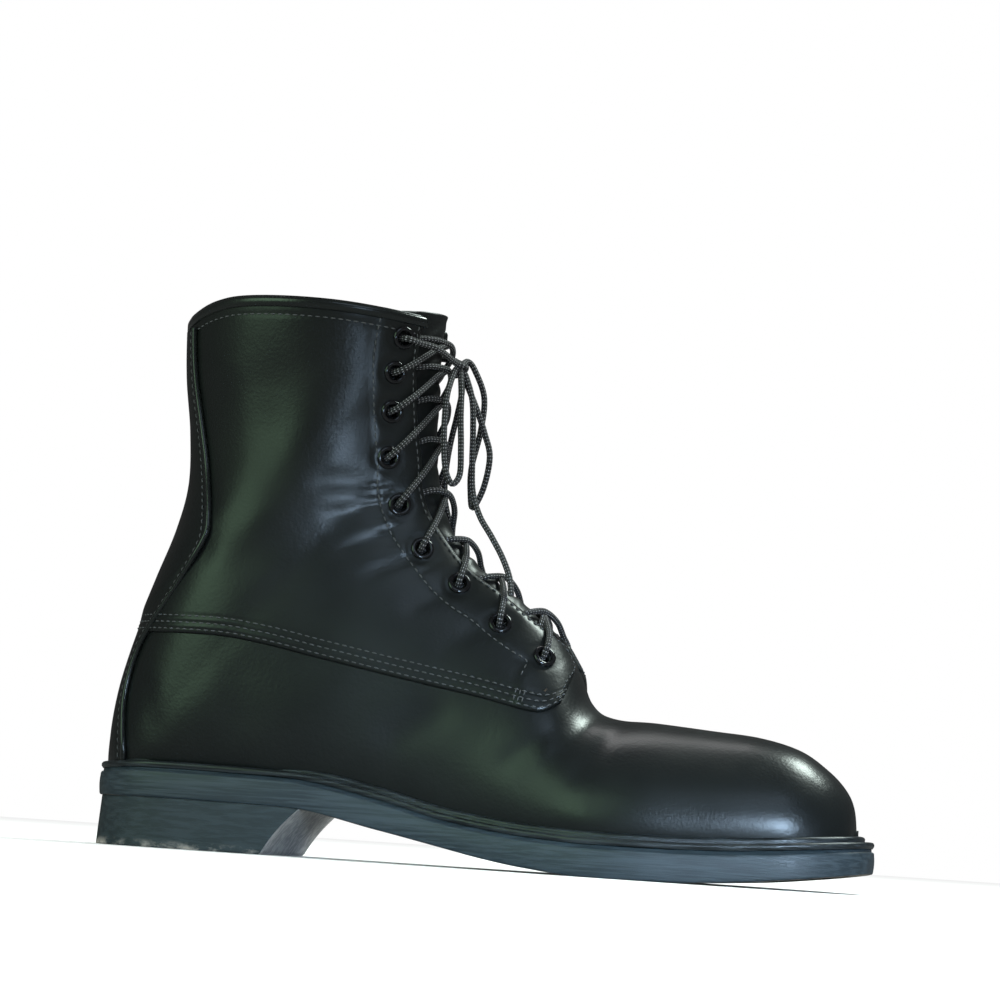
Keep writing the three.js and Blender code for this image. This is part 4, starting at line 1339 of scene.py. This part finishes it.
def makeOutsole(s):
    # edge wall with its groove, then a bottom drawn in to a spine, with lugs pressed in the forefoot
    length, groove = size["soleLength"], s["grooveHeight"]
    floorShare, lipShare = s["grooveShares"]
    profile = ((s["topInset"], 0.0), (s["grooveDepth"], 0.0), (s["grooveDepth"], -groove * floorShare),
               (s["lipInset"], -groove * lipShare), (0.0, -groove - s["lipHeight"]))
    rows = [levelRow(margin - inset, seatLine, lift) for inset, lift in profile]
    top = rows[-1]
    edgeX = ringAt(margin)[:, 0] + originShift
    bottomZ = soleBottom(edgeX)
    for t in np.linspace(0.08, 1, s["wallRows"]):
        drop = top[:, 2] + (bottomZ + s["edgeRadius"] - top[:, 2]) * t
        rows.append(np.column_stack([ringAt(margin + s["bow"] * np.sin(math.pi * t)), drop]))
    for angle in edgeAngles:
        flat = ringAt(margin - s["edgeRadius"] * (1 - math.cos(angle)))
        rows.append(np.column_stack([flat, bottomZ + s["edgeRadius"] * (1 - math.sin(angle))]))
    spineX = np.clip(edgeX, s["spine"][0] * length, s["spine"][1] * length) - originShift
    half = ringCount // 2
    spineY = (crossPoint(ring[:half], spineX) + crossPoint(ring[half:], spineX)) / 2
    spine = np.column_stack([spineX, spineY])
    start = rows[-1][:, :2]
    reach = np.linalg.norm(spine - start, axis=1)
    border, treadStart, treadEnd = s["treadBorder"], s["treadStart"] * length, s["treadEnd"] * length
    for t in np.linspace(0, 1, s["steps"])[1:]:
        flat = start + (spine - start) * t
        x = flat[:, 0] + originShift
        fromEdge = reach * t + s["edgeRadius"]
        inside = smoothstep(fromEdge, border - s["borderBlend"], border + s["borderBlend"])
        inside = inside * smoothstep(x, treadStart, treadStart + s["endBlend"])
        inside = inside * (1 - smoothstep(x, treadEnd - s["endBlend"], treadEnd))
        slant = s["lugPoint"] * (1 - np.abs(flat[:, 1]) / s["lugReach"])
        phase = np.mod(x - treadStart - slant, s["lugPitch"])
        lugEnd = smoothstep(phase, s["lugWidth"], s["lugWidth"] + s["lugBlend"])
        lug = smoothstep(phase, 0, s["lugBlend"]) * (1 - lugEnd)
        rows.append(np.column_stack([flat, soleBottom(x) + s["treadDepth"] * inside * (1 - lug)]))
    sole = ringPiece("sole_body", rows, [soleRubber, treadRubber])
    under = polygonValues(sole.data, "normal")[:, 2] < s["underFacing"]
    sole.data.polygons.foreach_set("material_index", under.astype(int))
    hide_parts("outsole")


makeOutsole(soleSet)

weltSet = {
    "inside": -0.0012,  # how far the flange and the lip run in under the upper
    "flangeLift": 0.0002,
    "flangeInset": 0.0006,
    "edgeRadius": 0.0011,
    "topInset": 0.0020,
    "lipChange": (0.24, 0.34),  # shares of soleLength between the plain lip and the storm welt
    "heelLip": 0.35,
    "bead": 0.0026,
    "beadReach": 0.0034,
    "groove": ((0.0010, 0.0021, -0.0009), (0.0002, 0.0022, -0.0010)),  # past bead, within edge, lift
    "sink": 0.0002,
    "beadSpan": (0.52, 0.50),  # middle and half width as shares of the bead's reach
    "round": 12,
}


def makeWelt(s):
    # flange on the sole, and a rolled lip that stands against the upper, with a dark groove between
    rows = [levelRow(s["inside"], seatLine, s["flangeLift"]),
            levelRow(margin - s["flangeInset"], seatLine, s["flangeLift"])]
    middle = size["welt"] / 2
    for angle in np.radians([-60, -20, 20, 60, 90]):
        lift = middle + 0.0001 + (middle - 0.0001) * math.sin(angle)
        rows.append(levelRow(margin - s["edgeRadius"] * (1 - math.cos(angle)), seatLine, lift))
    rows.append(levelRow(margin - s["topInset"], soleTop))
    lip = s["heelLip"] + (1 - s["heelLip"]) * smoothstep(ringShare, *s["lipChange"])
    reach = s["beadReach"] * lip
    for past, within, drop in s["groove"]:
        rows.append(levelRow(np.minimum(reach + past, margin - within), soleTop, drop))
    beadMiddle, beadHalf = [reach * share for share in s["beadSpan"]]
    for angle in np.radians(np.linspace(-20, 200, s["round"])):
        lift = s["bead"] * lip * (0.5 + 0.5 * math.sin(angle)) - s["sink"]
        rows.append(levelRow(beadMiddle + beadHalf * math.cos(angle), soleTop, lift))
    rows += [levelRow(s["inside"], soleTop), rows[0]]
    welt = ringPiece("storm_welt", rows, weltRubber)
    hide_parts("welt")


makeWelt(weltSet)

heelSet = {
    "foot": 0.240,  # shares of soleLength where the breast meets the floor and the outsole
    "head": 0.286,
    "taper": 0.0012,
    "taperLength": 0.03,
    "edgeRadius": 0.0006,
    "hollow": 0.0012,  # the breast is cut a little hollow
    "levels": 26,
    "around": 560,
    "across": 70,
    "lidSteps": (0.0, 0.5, 0.9),
    "footSteps": (0.85, 0.6, 0.3, 0.0),
    "middle": 0.45,  # share of the foot's length
    # on the breast, the pale colour of faces turned to the toe is painted light over worn rubber
    "paleFacing": (0.6, -0.8),  # faces turned so far to the toe or to the floor are pale
    "paleFrom": 0.9,
}


def makeHeel(s):
    # for each level the outline from breast corner round the heel, closed by the breast's own line
    along = distances(np.vstack([ring, ring[:1]]))[:-1]
    edge = ringAt(margin)
    edgeX = edge[:, 0] + originShift
    half = ringCount // 2
    headX, footX = s["head"] * size["soleLength"], s["foot"] * size["soleLength"]
    rows = []
    for t in np.linspace(0, 1, s["levels"]):
        breastX = footX + (headX - footX) * (1 - t) - s["hollow"] * math.sin(math.pi * t)
        inner = np.interp(-breastX, -edgeX[:half], along[:half])
        outer = np.interp(breastX, edgeX[half:], along[half:])
        spots = np.linspace(inner, outer, s["around"])
        flat, out = readAlong(spots, along, edge), readAlong(spots, along, ringOut)
        out /= np.linalg.norm(out, axis=1, keepdims=True)
        backness = smoothstep(-flat[:, :1], 0.0, s["taperLength"])
        flat = flat - out * s["taper"] * (1 - t) * backness
        closing = flat[-1] + (flat[0] - flat[-1]) * np.linspace(0, 1, s["across"])[1:-1, None]
        loop = np.vstack([flat, closing])
        rows.append(np.column_stack([loop, soleBottom(loop[:, 0] + originShift) * (1 - t)]))
    top, bottom = rows[0], rows[-1]
    bottom[:, 2] = s["edgeRadius"]
    middle = np.array([footX * s["middle"] - originShift, bottom[:, 1].mean(), 0.0])
    inward = middle[:2] - bottom[:, :2]
    inward /= np.linalg.norm(inward, axis=1, keepdims=True)
    for angle in edgeAngles:
        flat = bottom[:, :2] + inward * s["edgeRadius"] * (1 - math.cos(angle))
        rows.append(np.column_stack([flat, np.full(len(flat), s["edgeRadius"] * (1 - math.sin(angle)))]))
    last = rows[-1]
    rows += [middle + (last - middle) * f for f in s["footSteps"]]
    lidMiddle = np.array([*middle[:2], float(soleBottom(headX))])
    lid = [lidMiddle + (top - lidMiddle) * f for f in s["lidSteps"]]
    heel = ringPiece("heel_block", lid + rows, [heelRubber, breastRubber])
    # faces turned to the toe get the pale rubber as painted light over worn rubber; faces turned to the
    # floor get it as worn rubber
    normals, centres = polygonValues(heel.data, "normal"), polygonValues(heel.data, "center")
    toToe, toFloor = s["paleFacing"]
    breast = (normals[:, 0] > toToe) & (centres[:, 0] + originShift > s["paleFrom"] * footX)
    pale = breast | (normals[:, 2] < toFloor)
    heel.data.polygons.foreach_set("material_index", pale.astype(int))
    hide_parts("heel")


makeHeel(heelSet)
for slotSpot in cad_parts["insole"].material_slots:
    slotSpot.material = liningLeather
print("sole ready")


# eyelets
def makeEyelets(s):
    # a barrel through the leather and a half round rim over it, turned about the eyelet's axis
    hole, outer, barrel = s["hole"], s["radius"], s["hole"] + s["barrelWall"]
    depth, lift = s["barrelDepth"], s["lift"]
    rimAngles = np.linspace(0, math.pi, s["rimSteps"])
    rim = lift + s["rim"] * np.sin(rimAngles) ** s["rimPower"]
    radii = np.concatenate([[hole, barrel, barrel, outer],
                            (hole + outer) / 2 + (outer - hole) / 2 * np.cos(rimAngles), [hole]])
    heights = np.concatenate([[-depth, -depth, lift, lift], rim, [-depth]])
    angle = np.linspace(0, 2 * math.pi, s["sides"] + 1)
    for (name, k), (_, _, centre, axis) in eyelets.items():
        side = np.cross(axis, [0.0, 0.0, 1.0])
        side /= np.linalg.norm(side)
        circle = circleAt(angle, side, np.cross(side, axis))
        grid = centre + radii[:, None, None] * circle + heights[:, None, None] * axis
        piece = makeClosed("eyelet_ring_%s_%d" % (name, k), grid, gridFaces(*grid.shape[:2]), blackEnamel)
        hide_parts("eyelet_%s_%d" % (name, k))


makeEyelets(eyeletSet)


# stitches
def makeStitches(s):
    # thread dashes along each kept path: a long bead of six sides, its ends dipped into the leather
    rings, sides = s["rings"], s["sides"]
    t = np.linspace(0, 1, rings)
    angle = np.linspace(0, 2 * math.pi, sides + 1)[:-1]
    width = s["radius"] * np.sin(math.pi * np.clip(t, 0.02, 0.98)) ** 0.5
    lift = s["radius"] * (s["rise"][0] * np.sin(math.pi * t) - s["rise"][1])
    beads = []
    for path, away in stitchPaths:
        both = np.hstack([path, away])
        along = distances(path)
        count = max(int(along[-1] / s["pitch"]), 1)
        starts = np.arange(count) * s["pitch"] + 0.5 * (s["pitch"] - s["length"])
        a, b = readAlong(starts, along, both), readAlong(starts + s["length"], along, both)
        direction = b[:, :3] - a[:, :3]
        direction /= np.linalg.norm(direction, axis=1, keepdims=True)
        normal = a[:, 3:] / np.linalg.norm(a[:, 3:], axis=1, keepdims=True)
        centre = a[:, None, :3] * (1 - t)[None, :, None] + b[:, None, :3] * t[None, :, None]
        centre = centre + lift[None, :, None] * normal[:, None]
        circle = circleAt(angle, normal[:, None], np.cross(direction, normal)[:, None])
        beads.append(centre[:, :, None] + width[None, :, None, None] * circle[:, None])
    beads = np.concatenate(beads)
    i = np.arange(rings - 1)[:, None] * sides
    j = np.arange(sides)[None, :]
    k = (j + 1) % sides
    walls = np.stack([i + j, i + k, i + sides + k, i + sides + j], axis=-1).reshape(-1, 4)
    firstCap = np.array([[0, 5, 4, 3], [0, 3, 2, 1]])
    lastCap = (rings - 1) * sides + np.array([[0, 1, 2, 3], [0, 3, 4, 5]])
    base = (np.arange(len(beads)) * rings * sides)[:, None, None]
    quads, caps = [(part[None] + base).reshape(-1, 4) for part in (walls, np.vstack([firstCap, lastCap]))]
    makePiece("stitching", beads, np.vstack([quads, caps]), [threadGrey])


makeStitches(stitchSet)
print("eyelets and stitching ready")

# lace; heights are over the form's own surface
laceSet = {
    "diameter": 0.0025,
    "sides": 14,
    "spacing": 0.0006,
    "cordSpacing": 0.0008,
    "rimGap": 0.0005,
    "edgeGap": 0.0004,
    "tongueGap": 0.0004,
    "holeGap": 0.0003,
    "ride": 0.7,  # how far the upper strand lies over the lower one, in diameters
}
laceRadius = laceSet["diameter"] / 2
overRim = size["step"] + eyeletSet["rim"] + laceSet["rimGap"] + laceRadius
overEdge = size["step"] + laceSet["edgeGap"] + laceRadius
overTongue = -tongueSet["depth"] + laceRadius + laceSet["tongueGap"]
inHole = -size["wall"] - laceRadius + laceSet["holeGap"]
outOfEyelet = [(0.0, inHole), (0.0, 0.0004), (0.035, overRim - 0.0003)]  # share of the way, height


def smoothPath(points, spacing=laceSet["spacing"]):
    # the smooth line through the points, at about equal steps of the spacing
    rough = curveThrough(points, 400)
    return evenly(rough, max(int(distances(rough)[-1] / spacing), 24))


def laidPath(source, target, lay):
    # from one place and turn to another by shares, each share with its height over the form
    share, height = np.array(lay).T
    place, turn = [source[k] + (target[k] - source[k]) * share for k in (0, 1)]
    return formPoint(place, turn) + height[:, None] * formNormal(place, turn)


def strandPath(source, target, lift):
    # out of one eyelet, over its facing, across the tongue and under the other facing to the next
    return laidPath(source, target, outOfEyelet + [
        (0.10, overRim), (0.18, overEdge), (0.32, overTongue + 0.0012 + lift),
        (0.50, overTongue + 0.0002 + lift), (0.66, overTongue), (0.76, overTongue - 0.0012),
        (0.84, inHole - 0.0006), (0.93, inHole - 0.0004), (1.0, inHole)])


def throatPath(source, target, bow=0.5):
    # the straight bar between the lowest eyelets, bowed to the toe by a half sine
    low = inHole - 0.0004
    start = [(0.0, inHole), (0.08, low), (0.2, inHole), (0.32, overTongue)]
    end = [(1 - share, height) for share, height in start[::-1]]
    share, height = np.array(start + [(0.5, overTongue + 0.0002)] + end).T
    place = source[0] + bow * np.sin(math.pi * share)
    turn = source[1] + (target[1] - source[1]) * share
    return formPoint(place, turn) + height[:, None] * formNormal(place, turn)


def makeLacePiece(name, node, paths):
    parts = [tube(path, laceRadius, laceSet["sides"]) for path in paths]
    points, faces, uv = joinParts(parts)
    piece = makeClosed(name, points, faces, laceBraid, uv)
    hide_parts(node)
    return piece


def makeCrossings():
    # each strand climbs one eyelet; the second rides over the first where they cross
    last = len(eyeletTable) - 1
    for k in range(1, last + 1):
        ride = laceSet["ride"] * laceSet["diameter"]
        paths = [strandPath(eyelets["inner", k + 1], eyelets["outer", k], 0.0),
                 strandPath(eyelets["outer", k + 1], eyelets["inner", k], ride)]
        if k == last:
            paths.append(throatPath(eyelets["inner", k + 1], eyelets["outer", k + 1]))
        makeLacePiece("crossing_%d" % k, "lace_crossing_%d" % k, [smoothPath(path) for path in paths])


makeCrossings()

# knot and free lace, by listed points in metres from the heel's back
knotSet = {
    "centre": (0.1368, -0.0010, 0.2014),
    "size": (0.0030, 0.0038, 0.0030),
    "wide": 1.1,
    "overtone": 0.8,
    "tight": 0.6,
    "behind": 0.0074,  # from the knot to the ridge where its strands meet
}
cordSet = {  # node, real length, far end, route
    "bow_loop_inner": ("lace_loop_inner", 0.103, "knot", [
        (0.1364, -0.0028, 0.2010), (0.1352, -0.0050, 0.1994), (0.1342, -0.0110, 0.1900),
        (0.1340, -0.0125, 0.1800), (0.1346, -0.0130, 0.1680), (0.1360, -0.0130, 0.1580),
        (0.1386, -0.0115, 0.1529), (0.1410, -0.0092, 0.1570), (0.1406, -0.0084, 0.1680),
        (0.1396, -0.0080, 0.1800), (0.1389, -0.0066, 0.1900), (0.1377, -0.0041, 0.1974),
        (0.1372, -0.0024, 0.2002)]),
    "bow_loop_outer": ("lace_loop_outer", 0.128, "knot", [
        (0.1366, 0.0016, 0.2028), (0.1378, 0.0064, 0.2050), (0.1406, 0.0075, 0.2020),
        (0.1450, 0.0095, 0.1910), (0.1446, 0.0090, 0.1770), (0.1416, 0.0100, 0.1620),
        (0.1418, 0.0105, 0.1515), (0.1436, 0.0085, 0.1456), (0.1482, 0.0050, 0.1535),
        (0.1502, 0.0036, 0.1660), (0.1474, 0.0038, 0.1755), (0.1434, 0.0034, 0.1856),
        (0.1388, 0.0028, 0.1954), (0.1376, 0.0012, 0.1994)]),
    "free_end_inner": ("lace_end_inner", 0.100, "bare", [
        (0.1376, -0.0012, 0.2002), (0.1394, -0.0014, 0.1974), (0.1426, -0.0018, 0.1880),
        (0.1438, -0.0022, 0.1760), (0.1444, -0.0026, 0.1630), (0.1456, -0.0034, 0.1510),
        (0.1496, -0.0056, 0.1410), (0.1556, -0.0084, 0.1326), (0.1612, -0.0114, 0.1242),
        (0.1652, -0.0146, 0.1162), (0.1670, -0.0176, 0.1090)]),
    "free_end_outer": ("lace_end_outer", 0.071, "bare", [
        (0.1364, 0.0014, 0.2006), (0.1360, 0.0034, 0.1987), (0.1350, 0.0122, 0.1930),
        (0.1324, 0.0180, 0.1840), (0.1294, 0.0226, 0.1730), (0.1274, 0.0266, 0.1620),
        (0.1270, 0.0298, 0.1510), (0.1294, 0.0320, 0.1405)]),
}


def makeCord(name, node, length, farEnd, points):
    # a smooth line through the points; its length is printed
    path = smoothPath(np.array(points) - (originShift, 0, 0), laceSet["cordSpacing"])
    print(name, "length %.4f" % distances(path)[-1])
    piece = makeLacePiece(name, node, [path])


def makeKnot(s):
    # a trefoil line swept small, with the two strands that come up to it
    t = np.linspace(0, 2 * math.pi, 140)
    a, b, c = s["size"]
    centre = np.array(s["centre"]) - (originShift, 0, 0)
    trefoil = np.column_stack([s["wide"] * a * np.cos(3 * t),
                               b * (np.sin(t) + s["overtone"] * np.sin(2 * t)),
                               c * (np.cos(t) - s["overtone"] * np.cos(2 * t))])
    paths = [centre + s["tight"] * trefoil]
    ridgePlace, _ = locate(s["centre"][0] - s["behind"], s["centre"][2], 1)
    for name in ("inner", "outer"):
        strand = laidPath(eyelets[name, 1], (float(ridgePlace), math.pi), outOfEyelet + [
            (0.20, overRim), (0.45, overEdge + 0.0025)])
        paths.append(smoothPath(np.vstack([strand, centre])))
    makeLacePiece("bow_knot", "lace_knot", paths)


makeKnot(knotSet)
for cordName, cordRow in cordSet.items():
    makeCord(cordName, *cordRow)
print("lace ready")


# floor and light
stageSet = {
    "side": 3.0,
    "floor": (0.84, 0.84, 0.84, 1),
    "floorMirrored": (0.10, 0.10, 0.10, 1),  # what the leather mirrors of the floor
    "seen": 1.0,  # brightness of the backdrop itself
    "fill": 0.07,  # what the leather mirrors of it
    "lamps": [  # place, aim, width, height, power, colour, spread
        ((0.75, -1.5, 1.25), (0.12, 0, 0.06), 0.9, 0.6, 3.0, (0.62, 0.80, 1.0), math.pi),
        ((-1.0, -1.5, 0.75), (0.03, 0, 0.12), 1.1, 1.2, 10, (0.60, 1.0, 0.64), math.pi),
        ((0.80, 0.50, 1.30), (0.24, 0, 0.05), 0.5, 0.45, 19, (0.86, 1.0, 0.94), math.pi),
        ((-0.2, 0.7, 1.7), (0.05, 0, 0.2), 0.9, 0.5, 4, (1.0, 1.0, 1.0), math.pi),
        ((0.56, -0.76, 0.12), (0.24, -0.04, 0.02), 0.36, 0.14, 0.28, (0.55, 0.76, 1.0), 0.45),
    ],
}


def makeStage(s):
    # floor and backdrop are bright to the camera and dark to mirror rays; lamps aim at points of the boot
    scene, side = bpy.context.scene, s["side"]
    mesh = bpy.data.meshes.new("floor")
    corners = [(-side, -side, 0), (side, -side, 0), (side, side, 0), (-side, side, 0)]
    mesh.from_pydata(corners, [], [(0, 1, 2, 3)])
    floorMaterial, tree, shader = startMaterial("floorPale", 0.9)
    rays = addNode(tree, "ShaderNodeLightPath")
    seen = blendColour(tree, rays.outputs["Is Glossy Ray"], s["floor"], s["floorMirrored"])
    tree.links.new(seen, shader.inputs["Base Color"])
    shader.inputs["Specular IOR Level"].default_value = 0.0
    mesh.materials.append(floorMaterial)
    addObject("floor", mesh)
    world = bpy.data.worlds.new("studio")
    scene.world = world
    world.use_nodes = True
    tree = world.node_tree
    background = tree.nodes["Background"]
    background.inputs["Color"].default_value = (1, 1, 1, 1)
    rays = addNode(tree, "ShaderNodeLightPath")
    strength = mapRange(tree, rays.outputs["Is Glossy Ray"], 0.0, 1.0, s["seen"], s["fill"])
    tree.links.new(strength, background.inputs["Strength"])
    scene.view_settings.view_transform = "Standard"
    for k, (place, aim, width, height, power, colour, spread) in enumerate(s["lamps"]):
        lamp = bpy.data.lights.new("softbox_%d" % (k + 1), "AREA")
        lamp.shape = "RECTANGLE"
        lamp.size, lamp.size_y, lamp.energy, lamp.color = width, height, power, colour
        lamp.spread = spread
        holder = addObject(lamp.name, lamp)
        holder.visible_camera = False
        back = np.array(place) - np.array(aim)
        back = back / np.linalg.norm(back)
        right = np.cross([0, 0, 1.0], back)
        right /= np.linalg.norm(right)
        placeFrame(holder, right, np.cross(back, right), back, place)


makeStage(stageSet)
